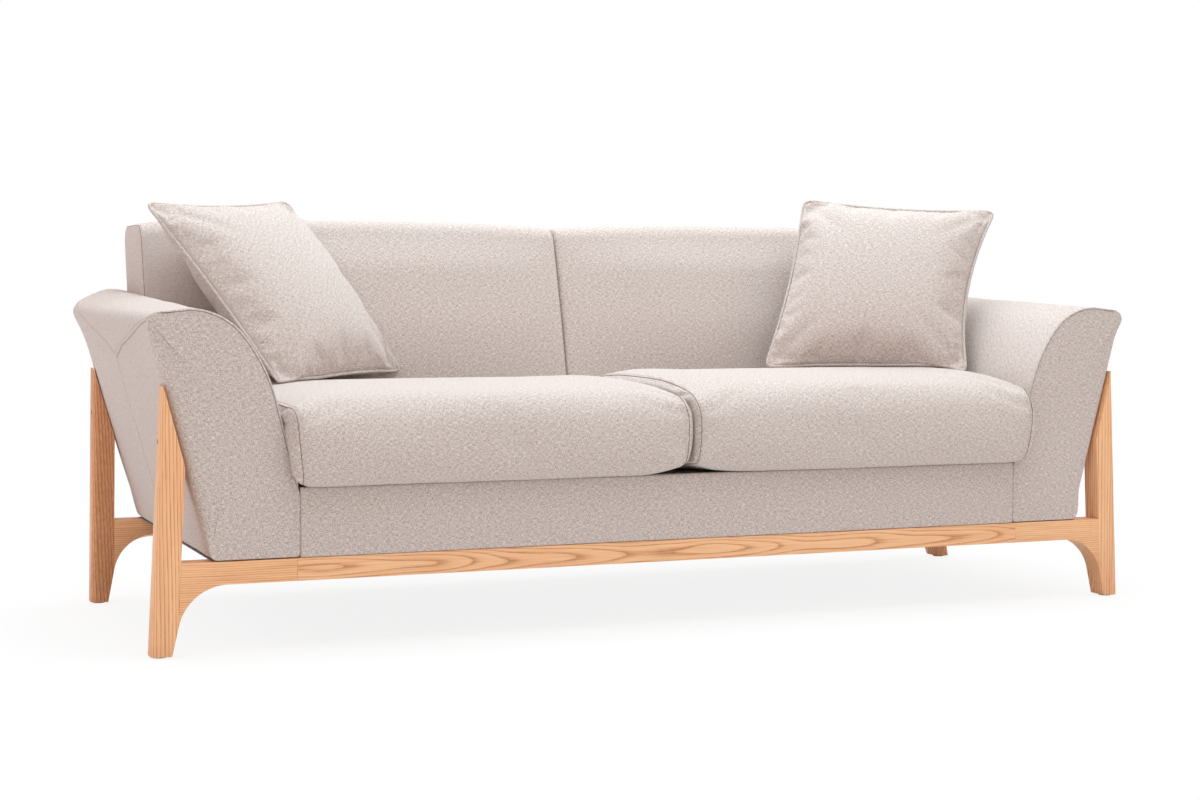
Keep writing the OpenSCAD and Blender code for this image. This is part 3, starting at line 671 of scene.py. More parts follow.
class Arm:
    """Surface of an arm: s runs round its section and w from the front edge's seam to the rear's.

    Near each end the surface rounds over with radius e(s), by 45 degrees up to the seam. The
    depth is then stretched so that the rear end follows the raked rear plane, and the top rises
    towards the rear. The end faces stand CROWN in front of their rims.
    """

    CROWN = 0.003

    def __init__(self, a, side):
        self.a, self.side = a, side
        self.outline = Outline(arm_outline(a))
        o = self.outline
        self.s_top = o.nearest((ARM_OUT - a.crest_in, ARM_TOP))
        self.s_corner = o.nearest((ARM_OUT, ARM_TOP - 0.02))
        self.s_out_foot = o.nearest((0.95, RAIL_TOP + 0.012))
        self.s_deck = o.nearest((SEAT_HALF, DECK_TOP))
        self.depth = 0.82

    def edge(self, s):
        """Radius of the end edges: tight at the seams, soft down the outer side."""
        s = np.mod(s, self.outline.length)
        soft = smooth(self.s_corner - 0.01, self.s_corner + 0.05, s) * (
            1 - smooth(self.s_out_foot - 0.06, self.s_out_foot - 0.005, s))
        tight = 0.004 + (self.a.edge - 0.004) * smooth(self.s_deck - 0.03, self.s_deck + 0.02, s)
        return tight + (self.a.soft_edge - tight) * soft

    def sewn(self, s):
        """1 where the end's edge is a seam, 0 down the outer side and underneath."""
        s = np.mod(s, self.outline.length)
        return (1 - smooth(self.s_corner - 0.03, self.s_corner, s)) * smooth(0.0, 0.01, s)

    def place(self, p):
        """Rise of the top, rake of the rear, slight waviness, and the side of the sofa."""
        p = np.array(p)
        x, y, z = p[..., 0], p[..., 1], p[..., 2]
        spread, held_down, wave_height, wave_length = 0.006, 0.7, 0.0012, 0.23
        far = (y - FRONT_Y) / self.depth
        beyond = smooth(ARM_OUT - 0.070, ARM_OUT + 0.006, x) * smooth(0.50, 0.60, z)
        x = x + spread * far * beyond
        z = z + self.a.rise * far * rising(z) * (1 - held_down * beyond)
        y = FRONT_Y + far * (rear_y(z) - FRONT_Y)
        q = np.stack([x, y, z], -1)
        wave = ripple(q, wave_length, 0.4 if self.side > 0 else 1.9) * wave_height
        q[..., 0] += wave * smooth(FRONT_Y + 0.01, FRONT_Y + 0.08, y)
        q[..., 2] += wave * smooth(0.5, 0.6, z)
        q[..., 0] *= self.side
        return q

    def at(self, s, w, lift=0.0):
        """Points at (s, w), lifted along the normal."""
        s, w = np.broadcast_arrays(np.asarray(s, float), np.asarray(w, float))
        p, n = self.outline.at(s)
        e = self.edge(s)
        quarter = e * math.pi / 4
        total = self.width(s)
        rear = w > total / 2
        w = np.where(rear, total - w, w)
        phi = np.clip(math.pi / 4 - w / e, 0, None)
        rounded = e - e * np.sin(phi) + self.CROWN * np.sin(phi) ** 3
        y = np.where(w < quarter, rounded, e + w - quarter)
        inset = e * (1 - np.cos(phi)) - lift * np.cos(phi)
        y = y - lift * np.sin(phi)
        y = np.where(rear, self.depth - y, y)
        q = np.stack([p[..., 0] - inset * n[..., 0], FRONT_Y + y, p[..., 1] - inset * n[..., 1]], -1)
        return self.place(q)

    def width(self, s):
        """Unrolled distance between the two end seams."""
        e = self.edge(s)
        return self.depth - 2 * e + e * math.pi / 2

    def end_row(self, s, phi, rear):
        """A row on an end's rounded edge at angle phi, with the notch of the seam."""
        p, n = self.outline.at(s)
        e = self.edge(s)
        gap = (phi - math.pi / 4) * e
        notch_depth, notch_width = 0.0024, 0.0011
        notch = notch_depth * np.exp(-((gap / notch_width) ** 2)) * self.sewn(s)
        r = e - notch
        inset = e - r * math.cos(phi)
        y = e - r * math.sin(phi) + self.CROWN * max(0, math.sin(phi)) ** 3
        y = self.depth - y if rear else y
        return np.stack([p[:, 0] - inset * n[:, 0], FRONT_Y + y, p[:, 1] - inset * n[:, 1]], -1)

    def build(self, scene, name):
        """The arm's closed skin: face, edge, swept side, edge, face."""
        o = self.outline
        cols = 216
        s = np.linspace(0, o.length, cols, endpoint=False)
        centre = np.array([0.90, 0.42])
        steps = [45, 36, 27, 19, 12, 7, 3]
        turns = np.radians([45 + t for t in steps] + [45] + [45 - t for t in steps[::-1]])
        shrink = [0.0, 0.06, 0.14, 0.24, 0.36, 0.48, 0.6, 0.7, 0.79, 0.86, 0.915, 0.955, 0.982]

        def face(rear):
            """Rows of an end face from its middle out, standing CROWN in front of its rim."""
            rim = self.end_row(s, math.pi / 2, rear)
            rows = []
            for f in shrink:
                row = rim.copy()
                row[:, 0] = centre[0] + f * (rim[:, 0] - centre[0])
                row[:, 2] = centre[1] + f * (rim[:, 2] - centre[1])
                crown = self.CROWN * (1 - f ** 4)
                row[:, 1] += crown if rear else -crown
                rows.append(row)
            return rows

        front = face(False) + [self.end_row(s, t, False) for t in turns]
        rear = face(True) + [self.end_row(s, t, True) for t in turns]
        p, _ = o.at(s)
        e = self.edge(s)
        body = []
        for d in np.linspace(0, 1, 92)[1:-1]:
            y = e + d * (self.depth - 2 * e)
            body.append(np.stack([p[:, 0], FRONT_Y + y, p[:, 1]], -1))
        rows = np.array(front + body + rear[::-1])
        to_seam = len(shrink) + len(steps)
        uv = layouts(rows, np.linspace(0, o.length, cols + 1), wrapped(rows[..., 1]), [0, 2])
        return shell(name, self.place(rows), cloth(scene), uv, (to_seam, to_seam + 1))

    def flap(self):
        """Front half of the flap's edge: distances round the section, depths, and its point's s."""
        a, o = self.a, self.outline
        lift = a.rise * 0.55 * float(rising(a.flap_z))
        tip_s = o.nearest((ARM_OUT - 0.018, a.flap_z - lift))
        line_y = np.array([0.012, 0.05, 0.107, 0.17, 0.247, 0.34, a.flap_y])
        line_z = np.array([0.608, 0.604, 0.597, 0.585, 0.566, 0.548, a.flap_z - lift])
        out = [o.nearest((ARM_OUT - 0.018 if z < 0.6 else ARM_OUT, z)) for z in line_z]
        out[-1] = tip_s
        return np.array(out), line_y, tip_s


def beside(path, off):
    """A flat path moved to its left."""
    t = unit(np.gradient(path, axis=0))
    return path + np.stack([-t[:, 1], t[:, 0]], 1) * off


def band(name, arm, path, material, profile):
    """A sewn edge on an arm: a profile carried along an unrolled path."""
    rows = [arm.at(*beside(path, off).T, height) for off, height in profile]
    return strip(name, np.array(rows).transpose(1, 0, 2), material)


# Profiles of sewn edges: distances to the left of the path, and heights above the cloth.
WELT = [(-0.0006, -0.002), (-0.0004, 0.0004), (0.0008, 0.0014), (0.0030, 0.0017), (0.0052, 0.0013),
        (0.0066, 0.0004), (0.0078, 0.0002), (0.0092, 0.0007), (0.0115, 0.0004), (0.014, -0.0004),
        (0.012, -0.002), (0.004, -0.002)]
RIDGE = [(-0.0034, -0.0012), (-0.0022, 0.0005), (-0.0010, 0.0007), (0.0, -0.0007), (0.0010, 0.0007),
         (0.0022, 0.0005), (0.0034, -0.0012)]
# The last profile is a thin strip of painted shade for the groove of a seam, made in the dark seam
# finish.
SEAM_SHADE_PROFILE = [(-0.0013, -0.001), (-0.0010, 0.00015), (-0.0001, 0.0002), (0.0003, -0.001)]


def even_path(points, step):
    """A path through points, spaced evenly."""
    p = np.asarray(points, float)
    d = distances(p)
    return sampled(np.linspace(0, d[-1], max(4, int(d[-1] / step))), d, p)


def soften(path, times):
    """A path with its corners eased by averaging neighbours; its ends stay."""
    p = np.array(path, float)
    for _ in range(times):
        p[1:-1] = (p[:-2] + 2 * p[1:-1] + p[2:]) / 4
    return p


def soften_loop(path, times):
    """A closed path with its corners eased by averaging neighbours."""
    p = np.array(path, float)
    for _ in range(times):
        p = (np.roll(p, 1, 0) + 2 * p + np.roll(p, -1, 0)) / 4
    return p


class SOFA_OT_arms(bpy.types.Operator):
    """Builds the two upholstered arms with their seams and stitching"""

    bl_idname = "sofa.arms"
    bl_label = "Arms"

    def execute(self, context):
        scene = context.scene
        for side, name in SIDES:
            arm = Arm(scene.sofa_arm, side)
            skin = arm.build(scene, f"arm_cover_{name}")
            finish(skin, "sofa_body", [f"arm_pad_{name}"])
            self.seams(scene, arm, name)
        return {"FINISHED"}

    def seams(self, scene, arm, name):
        """Both seams of the top cover, mirrored about the flap's point, and the one below it."""
        s_line, y_line, tip_s = arm.flap()
        point_y, start, turn = arm.a.flap_y, arm.s_deck + 0.004, arm.s_corner - 0.03
        line = np.stack([s_line, y_line], 1)
        mirror = line[::-1].copy()
        total = float(arm.width(np.array([arm.s_top]))[0])
        mirror[:, 1] = point_y + (point_y - line[::-1, 1]) * (total - point_y) / point_y
        rear_drift, step, rounds, stitch_line = 0.006, 0.003, 60, 0.0074
        mirror[:, 0] = mirror[:, 0] - rear_drift * smooth(point_y, total, mirror[:, 1])
        fore = np.vstack([[[start, 0.0], [turn, 0.0]], line])
        aft = np.vstack([mirror, [[turn, total], [start, total]]])
        for corners, part in ((fore, "front"), (aft, "rear")):
            path = soften(even_path(corners, step), rounds)
            sewn = beside(path, stitch_line).T
            on = arm.at(*sewn, 0.0002)
            up = arm.at(*sewn, 0.0012) - on
            for piece in (
                band(f"arm_welt_{part}_{name}", arm, path, cloth(scene), WELT),
                # A thin dark strip of painted shade along the seam's groove.
                band(f"arm_seam_shade_{part}_{name}", arm, path, crease(scene), SEAM_SHADE_PROFILE),
                stitches(f"arm_stitch_{part}_{name}", on, up, thread(scene)),
            ):
                finish(piece, "sofa_body")
        foot = np.linspace(tip_s + 0.004, arm.s_out_foot - 0.004, 120)
        down = np.stack([foot, np.full(len(foot), point_y)], 1)
        drop = band(f"arm_side_seam_{name}", arm, down, cloth(scene), RIDGE)
        finish(drop, "sofa_body")


# ---------------------------------------------------------------- wood frames


def softened_copy(node, name, material):
    """A merged copy of a CAD node with its edges eased by a bevel."""
    mesh = FRAME["nodes"][node].data.copy()
    mesh.name = name
    mesh.materials.clear()
    bm = bmesh.new()
    bm.from_mesh(mesh)
    bmesh.ops.remove_doubles(bm, verts=bm.verts, dist=1e-5)
    bmesh.ops.dissolve_limit(bm, angle_limit=math.radians(1.0), verts=bm.verts, edges=bm.edges)
    bm.to_mesh(mesh)
    bm.free()
    shade(mesh, material)
    obj = link(name, mesh)
    bevel = obj.modifiers.new("eased_edges", "BEVEL")
    bevel.width, bevel.segments = EASED_EDGE, 3
    bevel.limit_method, bevel.angle_limit = "ANGLE", math.radians(35)
    bevel.harden_normals = True
    return obj


class SOFA_OT_frames(bpy.types.Operator):
    """Finishes the two ash frames: posts, curved brackets and rails"""

    bl_idname = "sofa.frames"
    bl_label = "Ash frames"

    def execute(self, context):
        s = context.scene.sofa_finish
        seed = 0.0
        for sub in RECORD["subparts"]:
            if sub["material_slot"] != "ash":
                continue
            node = sub["node"]
            seed += 0.83
            post, bracket = node.startswith("post"), node.startswith("bracket")
            low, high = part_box(node)
            centre = [(a + b) / 2 for a, b in zip(low, high)]
            if post:
                grain, pith, ring, wander = "Z", (0.040, 0.060), 0.0055, 0.007
            elif bracket:
                grain, pith, ring, wander = "X", (0.06, -0.26), 0.0045, 0.011
            else:
                grain, pith, ring, wander = "X", (0.052, 0.006 * math.sin(5 * seed)), 0.0019, 0.011
            # Rear posts lean with the rake; the lean turns their grain and darkens them with painted
            # shade.
            lean = REAR_RAKE if "post_rear" in node else 0.0
            wood = ash(f"ash_{node}", grain, s, seed, centre, pith, ring, lean, wander)
            piece = softened_copy(node, f"{node}_ash", wood)
            finish(piece, "sofa_body", [node])
        return {"FINISHED"}


# ---------------------------------------------------------------- apron, back


class SOFA_OT_apron(bpy.types.Operator):
    """Builds the padded apron between the arms"""

    bl_idname = "sofa.apron"
    bl_label = "Apron"

    def execute(self, context):
        low, top = RAIL_TOP + 0.0003, DECK_TOP + 0.001
        back = FRONT_Y + 0.0098
        r = 0.004
        bulge, wave_height = 0.0025, 0.0006
        face = np.linspace(low + r, top - r, 24)
        loop = np.vstack([
            [[back, low]],
            arc((FRONT_Y + r, low + r), r, 270, 180, 6)[:-1],
            np.stack([np.full(len(face), FRONT_Y), face], 1),
            arc((FRONT_Y + r, top - r), r, 180, 90, 6)[1:],
            [[back, top]],
        ])
        half = SEAT_HALF - 0.0004
        ends = np.array([0, 0.0004, 0.0012, 0.0022, 0.0034])
        middle = np.linspace(-half + 0.005, half - 0.005, 150)
        x = np.concatenate([-half + ends, middle, half - ends[::-1]])
        rows = []
        for v in x:
            from_end = half - abs(v)
            tuck = r - math.sqrt(max(r * r - max(r - from_end, 0) ** 2, 0))
            y, z = loop[:, 0], loop[:, 1]
            t = (z - (low + top) / 2) / ((top - low) / 2)
            fore = y < back - 0.001
            y = y + fore * (tuck - bulge * (1 - t ** 4) * min(1, from_end / 0.05))
            rows.append(np.stack([np.full(len(y), v), np.minimum(y, back), z], 1))
        rows = np.array(rows)
        rows[..., 1] -= wave_height * ripple(rows, 0.31, 2.2) * (rows[..., 1] < back - 0.004)
        poles = np.repeat(rows.mean(1, keepdims=True), rows.shape[1], 1)
        rows = np.concatenate([poles[:1], rows, poles[-1:]])
        uv = wrapped(rows[..., [0, 2]])
        piece = shell("apron_cover", rows, cloth(context.scene), (uv, uv))
        finish(piece, "sofa_body", ["apron_pad"])
        return {"FINISHED"}


def back_front(z):
    """Seam line of the back's front face: y = foot + (z - deck) tan(rake)."""
    return BACK_FOOT_Y + (z - DECK_TOP) * BACK_RAKE


class Back:
    """One half of the back, made of sections at distances x from the sofa's middle."""

    def __init__(self, b, arm_shape):
        self.b = b
        o = arm_shape.outline
        s = np.linspace(arm_shape.s_deck, arm_shape.s_top, 400)
        p, _ = o.at(s)
        self.arm_x, self.arm_z = p[:, 0], p[:, 1]
        self.rise = arm_shape.a.rise * 0.9
        self.x0, self.x1 = 0.0008, BACK_HALF

    def foot(self, x):
        """Lower edge: the deck between the arms, then along the arm's roll."""
        z = np.interp(x, self.arm_x, self.arm_z)
        z = z + self.rise * rising(z) - 0.004
        return np.where(x < SEAT_HALF - 0.001, DECK_TOP + 0.0006, z)

    def top(self, x):
        """Top line, slightly crowned between its seams."""
        t = (x - (self.x0 + self.x1) / 2) / ((self.x1 - self.x0) / 2)
        droop = 0.004 * smooth(self.x1 - 0.03, self.x1, x)
        return BACK_TOP - 0.010 + 0.010 * (1 - np.abs(t) ** 3) - droop

    def loop(self, x, inset):
        """Section at x: front from the foot up, round over the top, down the rear, underneath."""
        b = self.b
        z0, z1 = float(self.foot(x)) + inset * 0.3, float(self.top(x)) - inset
        room = (z1 - PANEL_TOP - 0.004) / (1 + math.sin(math.atan(REAR_RAKE)))
        rf, rr = b.front_radius, min(b.rear_radius, room)
        fc = np.array([back_front(z1 - rf) + rf * math.hypot(1, BACK_RAKE) + inset, z1 - rf])
        rc = np.array([rear_y(z1 - rr) - rr * math.hypot(1, REAR_RAKE) - inset, z1 - rr])
        front_arc = arc(fc, rf, 180 - math.degrees(math.atan(BACK_RAKE)), 90, 10)
        rear_arc = arc(rc, rr, 90, -math.degrees(math.atan(REAR_RAKE)), 12)
        zf = np.linspace(z0, front_arc[0, 1], 46)
        front = np.stack([back_front(zf) + inset, zf], 1)
        flat = np.linspace(front_arc[-1, 0], rear_arc[0, 0], 12)[1:-1]
        top = np.stack([flat, np.full(len(flat), z1)], 1)
        zr = np.concatenate([np.linspace(rear_arc[-1, 1], PANEL_TOP + 0.002, 4)[1:],
                             np.linspace(PANEL_TOP - 0.001, z0 + 0.001, 40)])
        step = 0.0088 * (zr < PANEL_TOP) * (x < PANEL_HALF + 0.001)
        rear = np.stack([rear_y(zr) - inset - step, zr], 1)
        under = np.linspace(rear[-1, 0], front[0, 0], 10)[1:-1]
        under = np.stack([under, np.full(len(under), z0)], 1)
        return np.vstack([front[:-1], front_arc, top, rear_arc, rear, under])

    def puff(self, x, loop):
        """How far the front stands out: full in the middle, none at the seams."""
        mid, half = (self.x0 + self.x1) / 2, (self.x1 - self.x0) / 2
        t = np.clip(abs((x - mid) / half), 0, 1)
        across = (1 - t ** 3.2) ** 0.8
        z = loop[:, 1]
        height = 0.25 + 0.75 * (1 - smooth(BACK_TOP - 0.11, BACK_TOP - 0.005, z))
        low = smooth(DECK_TOP + 0.09, DECK_TOP + 0.31, z)
        return self.b.bulge * across * height * low

    def build(self, scene, name, side):
        """The closed cover, with the paths of its outer seam and of the stitching beside it."""
        e = self.b.edge
        edge_t = np.radians([90, 72, 56, 42, 30, 20, 10, 0])
        in_x = self.x0 + e * (1 - np.sin(edge_t))
        in_d = e * (1 - np.cos(edge_t))
        out_e = 0.007
        out_x = self.x1 - out_e * (1 - np.sin(edge_t[::-1]))
        out_d = out_e * (1 - np.cos(edge_t[::-1]))
        mid = np.concatenate([
            np.linspace(self.x0 + e, 0.70, 80)[1:], np.linspace(0.70, 0.772, 10)[1:],
            [0.7755, 0.7772, 0.7785, 0.7800, 0.7825, 0.786, 0.790, 0.796, 0.803],
            np.linspace(0.803, PANEL_HALF, 26)[1:], [PANEL_HALF + 0.0012], [0.9315]])
        xs = np.concatenate([in_x, mid, out_x])
        ds = np.concatenate([in_d, np.zeros(len(mid)), out_d])
        rows = []
        n_front, n_fade = 55, 10
        for x, d in zip(xs, ds):
            loop = self.loop(x, d)
            fore = np.zeros(len(loop))
            fore[:n_front] = 1
            fore[n_front:n_front + n_fade] = np.linspace(1, 0, n_fade)
            y = loop[:, 0] - self.puff(x, loop) * fore
            rows.append(np.stack([np.full(len(y), x), y, loop[:, 1]], 1))
        rows = np.array(rows)
        ahead = rows[..., 1] < rear_y(rows[..., 2]) - 0.05
        wave_height, wave_length = 0.0014, 0.27
        rows[..., 1] += wave_height * ripple(rows, wave_length, 0.9 + side) * ahead

        def closing(rim, shares, x, crown):
            """Rows that close an end: the rim drawn in to shares of its size, with a crown."""
            middle = rim.mean(0)
            rings = np.array([middle + f * (rim - middle) for f in shares])
            rings[..., 0] = [[x + crown * (1 - f ** 3)] for f in shares]
            return rings

        start = closing(rows[0], (0.0, 0.3, 0.6, 0.85, 0.97), self.x0 - 0.0004, 0.0)
        end = closing(
            rows[-1], (0.985, 0.95, 0.9, 0.82, 0.7, 0.55, 0.38, 0.2, 0.0), self.x1, 0.004)
        grid = np.concatenate([start, rows, end])
        around = distances(rows[40])
        around = np.append(around, around[-1] + 0.01)
        uv = layouts(grid, grid[:, :1, 0] * side, around, [1, 2])
        grid = grid * [side, 1, 1]
        ends = len(start), len(end) + 1
        sewn, seam_points = len(start) + len(in_x) + len(mid) + 4, 78
        seam, stitch = (grid[j, :seam_points] for j in (sewn, sewn - 5))
        return shell(name, grid, cloth(scene), uv, ends), seam, stitch


class SOFA_OT_back(bpy.types.Operator):
    """Builds the two halves of the back and the outer back panel"""

    bl_idname = "sofa.back"
    bl_label = "Back"

    def execute(self, context):
        scene = context.scene
        arm = Arm(scene.sofa_arm, 1)
        back = Back(scene.sofa_back, arm)
        for side, name in SIDES:
            piece, seam, stitch = back.build(scene, f"back_cushion_{name}", side)
            finish(piece, "sofa_body", [f"back_pad_{name}"])
            # A thin dark cord of painted shade along the seam.
            line = tube(f"back_seam_shade_{name}", seam, SEAM_SHADE_RADIUS, crease(scene), False, 6)
            finish(line, "sofa_body")
            normal = np.cross(np.gradient(stitch, axis=0), [1.0, 0.0, 0.0])
            sewing = stitches(f"back_stitch_{name}", stitch, normal, thread(scene))
            finish(sewing, "sofa_body")
        self.panel(scene, back)
        return {"FINISHED"}

    def panel(self, scene, back):
        """Outer panel: rows in z as wide as the space between the arms, slightly crowned."""
        rim = np.array([0, 0.0008, 0.0022, 0.0045])
        z = np.concatenate([
            PANEL_LOW + rim, np.linspace(PANEL_LOW + 0.009, 0.42, 30), np.linspace(0.43, 0.66, 60),
            np.linspace(0.666, PANEL_TOP - 0.008, 14), PANEL_TOP - rim[::-1]])
        lift = back.rise * rising(back.arm_z)
        half = np.interp(z, back.arm_z + lift, back.arm_x) - 0.0015
        half = np.where(z < DECK_TOP, SEAT_HALF - 0.001, np.minimum(half, PANEL_HALF - 0.001))
        ends = np.array([0.991, 0.996, 0.9985, 1])
        t = np.concatenate([-ends[::-1], np.linspace(-0.98, 0.98, 120), ends])
        x = half[:, None] * t[None, :]
        gap = np.minimum(half[:, None] - np.abs(x), np.minimum(z - z[0], z[-1] - z)[:, None])
        round_edge = np.sqrt(np.clip(1 - (1 - np.clip(gap / 0.006, 0, 1)) ** 2, 0, 1))
        crown, edge = 0.004, 0.004
        dome = crown * smooth(0, 0.2, gap) + edge * round_edge
        plane = rear_y(z)[:, None] - 0.0055
        outer = np.stack([x, plane + dome, np.broadcast_to(z[:, None], x.shape)], -1)
        inner = outer.copy()
        inner[..., 1] = rear_y(z)[:, None] - 0.0082
        n, m = x.shape
        verts = np.vstack([outer.reshape(-1, 3), inner.reshape(-1, 3)])
        i = (np.arange(n - 1)[:, None] * m + np.arange(m - 1)[None, :]).ravel()
        quads = np.stack([i, i + 1, i + m + 1, i + m], 1)
        faces = [*quads, *(quads + n * m)[:, ::-1]]
        loop = np.concatenate([np.arange(m), np.arange(1, n) * m + m - 1,
                               (n - 1) * m + np.arange(m - 1)[::-1], np.arange(n - 2, 0, -1) * m])
        faces += [(a, b, b + n * m, a + n * m) for a, b in zip(loop, np.roll(loop, -1))]
        uv = [tuple((verts[k, 0], verts[k, 2]) for k in f) for f in faces]
        piece = mesh_ngon("back_outer_panel", verts, faces, cloth(scene), uv)
        finish(piece, "sofa_body", ["back_panel"])


# ---------------------------------------------------------------- cushions


def inflate(obj, pins, pressure, bend=0.6, spare=0.0):
    """Blows a closed cover up with the cloth simulation; the pinned points stay where they are."""
    frames = 20
    group = obj.vertex_groups.new(name="seams")
    group.add([int(index) for index in pins], 1.0, "REPLACE")
    mod = obj.modifiers.new("filling", "CLOTH")
    c = mod.settings
    c.quality, c.mass = 6, 0.25
    c.tension_stiffness = c.compression_stiffness = 15.0
    c.shear_stiffness, c.bending_stiffness = 5.0, bend
    c.use_pressure, c.uniform_pressure_force = True, pressure
    c.effector_weights.gravity = 0.0
    c.shrink_min = -spare
    c.vertex_group_mass = "seams"
    mod.collision_settings.use_collision = False
    mod.point_cache.frame_start, mod.point_cache.frame_end = 1, frames
    scene = bpy.context.scene
    for f in range(1, frames + 1):
        scene.frame_set(f)
    baked = bpy.data.meshes.new_from_object(obj.evaluated_get(bpy.context.evaluated_depsgraph_get()))
    points = np.empty(len(baked.vertices) * 3)
    baked.vertices.foreach_get("co", points)
    bpy.data.meshes.remove(baked)
    obj.modifiers.remove(mod)
    obj.vertex_groups.clear()
    scene.frame_set(1)
    return points.reshape(-1, 3)


def held_back(move, cap):
    """Moves eased so that none is longer than cap: length cap tanh(length / cap)."""
    size = np.maximum(np.linalg.norm(move, axis=1), 1e-9)
    return move * (cap * np.tanh(size / cap) / size)[:, None]


def coords(obj):
    """A mesh's points as an array."""
    out = np.empty(len(obj.data.vertices) * 3)
    obj.data.vertices.foreach_get("co", out)
    return out.reshape(-1, 3)


def set_coords(obj, points):
    obj.data.vertices.foreach_set("co", np.asarray(points).ravel())
    obj.data.update()


def subdivide(obj):
    mod = obj.modifiers.new("smooth", "SUBSURF")
    mod.levels = mod.render_levels = 1


class SeatCushion:
    """A seat cushion: a band over top, front and bottom, and a sewn side panel at each end.

    The band's section is a rounded oblong in Y and Z. Its top rises by
    (crown (1 - k|x|^6) + rim)(1 - |y|^3), with x and y from -1 to 1 across the cushion; k is
    smaller and the rim is added at the ends that keep their height. The underside lifts at the
    front where the two cushions meet.
    """

    SEAM = 27.0
    STITCH = 13.0

    def __init__(self, s, arm, side):
        self.s, self.arm, self.side = s, arm, side
        self.x0, self.x1 = 0.0012 + side * s.meet, SEAT_HALF + 0.016
        self.y0 = CAD_BOUNDS[0][1] + 0.002
        self.y1 = BACK_FOOT_Y - 0.004
        self.z0 = DECK_TOP + 0.003
        self.crown = s.crown + (s.crown_right if side > 0 else 0.0)
        self.mid = self.z0 + s.thickness / 2

    def belly(self, z):
        """1 at the middle of the cushion's height and 0 at its top and bottom."""
        return np.clip(1 - ((z - self.mid) / (self.s.thickness / 2)) ** 2, 0, 1)

    def bulge(self, y, z):
        """How far the left cushion's inner end stands into the right one's, at its front."""
        return self.s.bulge * self.belly(z) * (1 - smooth(self.y0 + 0.10, self.y0 + 0.40, y))

    def loop(self):
        z1 = self.z0 + self.s.thickness
        y0, y1, z0 = self.y0, self.y1, self.z0
        rf, rb, rl = 0.040, 0.030, 0.020
        pts = np.vstack([
            arc((y0 + rl, z0 + rl), rl, 270, 180, 8),
            arc((y0 + rf, z1 - rf), rf, 180, 90, 10),
            arc((y1 - rb, z1 - rb), rb, 90, 0, 10),
            arc((y1 - rl, z0 + rl), rl, 0, -90, 8),
        ])
        return Outline(pts, 0.006)

    def across(self, p):
        """Position on the cushion, from -1 to 1 in X and in Y."""
        tx = (p[..., 0] - (self.x0 + self.x1) / 2) / ((self.x1 - self.x0) / 2)
        ty = (p[..., 1] - (self.y0 + self.y1) / 2) / ((self.y1 - self.y0) / 2)
        return np.clip(tx, -1, 1), np.clip(ty, -1, 1)

    def rise(self, tx, ty):
        """Height of the crown at (tx, ty), with the fuller rims of the ends."""
        outer_keeps = 0.7 if self.side > 0 else 0.0
        fall = np.abs(tx) ** 6 * np.where(tx < 0, 0.2, 1 - outer_keeps)
        rims = self.s.rim * (smooth(0.55, 1.0, -tx) + outer_keeps * smooth(0.55, 1.0, tx))
        return (self.crown * (1 - fall) + rims) * (1 - np.abs(ty) ** 3)

    def settle(self, p):
        """Crowns the top, fits the outer end to the arm and leans the rear against the back."""
        x, y, z = p[..., 0], p[..., 1], p[..., 2]
        tx, ty = self.across(p)
        up = smooth(self.z0 + 0.06, self.z0 + self.s.thickness, z)
        z2 = z + up * self.rise(tx, ty)
        front = 1 - smooth(self.y0 + 0.01, self.y0 + 0.16, y)
        loose, flare, fuller = 0.0165, 0.10, 0.011
        lift, reach = (0.018, 0.11) if self.side > 0 else (0.016, 0.045)
        z2 = z2 + lift * np.exp(-x / reach) * front * (1 - up)
        free = SEAT_HALF + loose + flare * (z - self.z0) + fuller * (self.side > 0) * self.belly(z)
        held = arm_inner(self.arm, z) - 0.002
        end = free + (held - free) * smooth(FRONT_Y - 0.024, FRONT_Y + 0.004, y)
        x2 = self.x0 + (x - self.x0) * (end - self.x0) / (self.x1 - self.x0)
        x2 = x2 + self.side * self.bulge(y, z) * (1 - smooth(0.0, 0.25, x))
        y2 = y + SEAT_RAKE * (z - self.z0) * smooth(0.0, self.y1, y)
        return np.stack([x2, y2, z2], -1)

    def build(self, name, material):
        """The closed cover, with the numbers of its seam rows and of its stitched rows."""
        o = self.loop()
        cols = 148
        s = np.linspace(0, o.length, cols, endpoint=False)
        p, n = o.at(s)
        inner, outer = (self.s.edge_inner if self.side > 0 else self.s.edge), self.s.edge
        turns = [90, 80, 70, 60, 50, 42, 35, self.SEAM + 2.6, self.SEAM, self.SEAM - 2.6, 19,
                 self.STITCH, 6, 0]
        notch_depth = 0.0024
        dips = [notch_depth if t == self.SEAM else 0.0 for t in turns]
        centre = np.array([(self.y0 + self.y1) / 2, self.z0 + self.s.thickness * 0.5])
        shrink = [0.0, 0.15, 0.3, 0.45, 0.6, 0.73, 0.84, 0.92, 0.97]
        xs = np.linspace(self.x0 + inner, self.x1 - outer, 66)[1:-1]

        def ring(x, inset, f=1.0):
            q = centre + f * (p - n * inset - centre)
            return np.stack([np.full(cols, x), q[:, 0], q[:, 1]], 1)

        def edges(e):
            a = np.radians(turns)
            r = e - np.array(dips)
            return list(zip(e - r * np.sin(a), e - r * np.cos(a)))

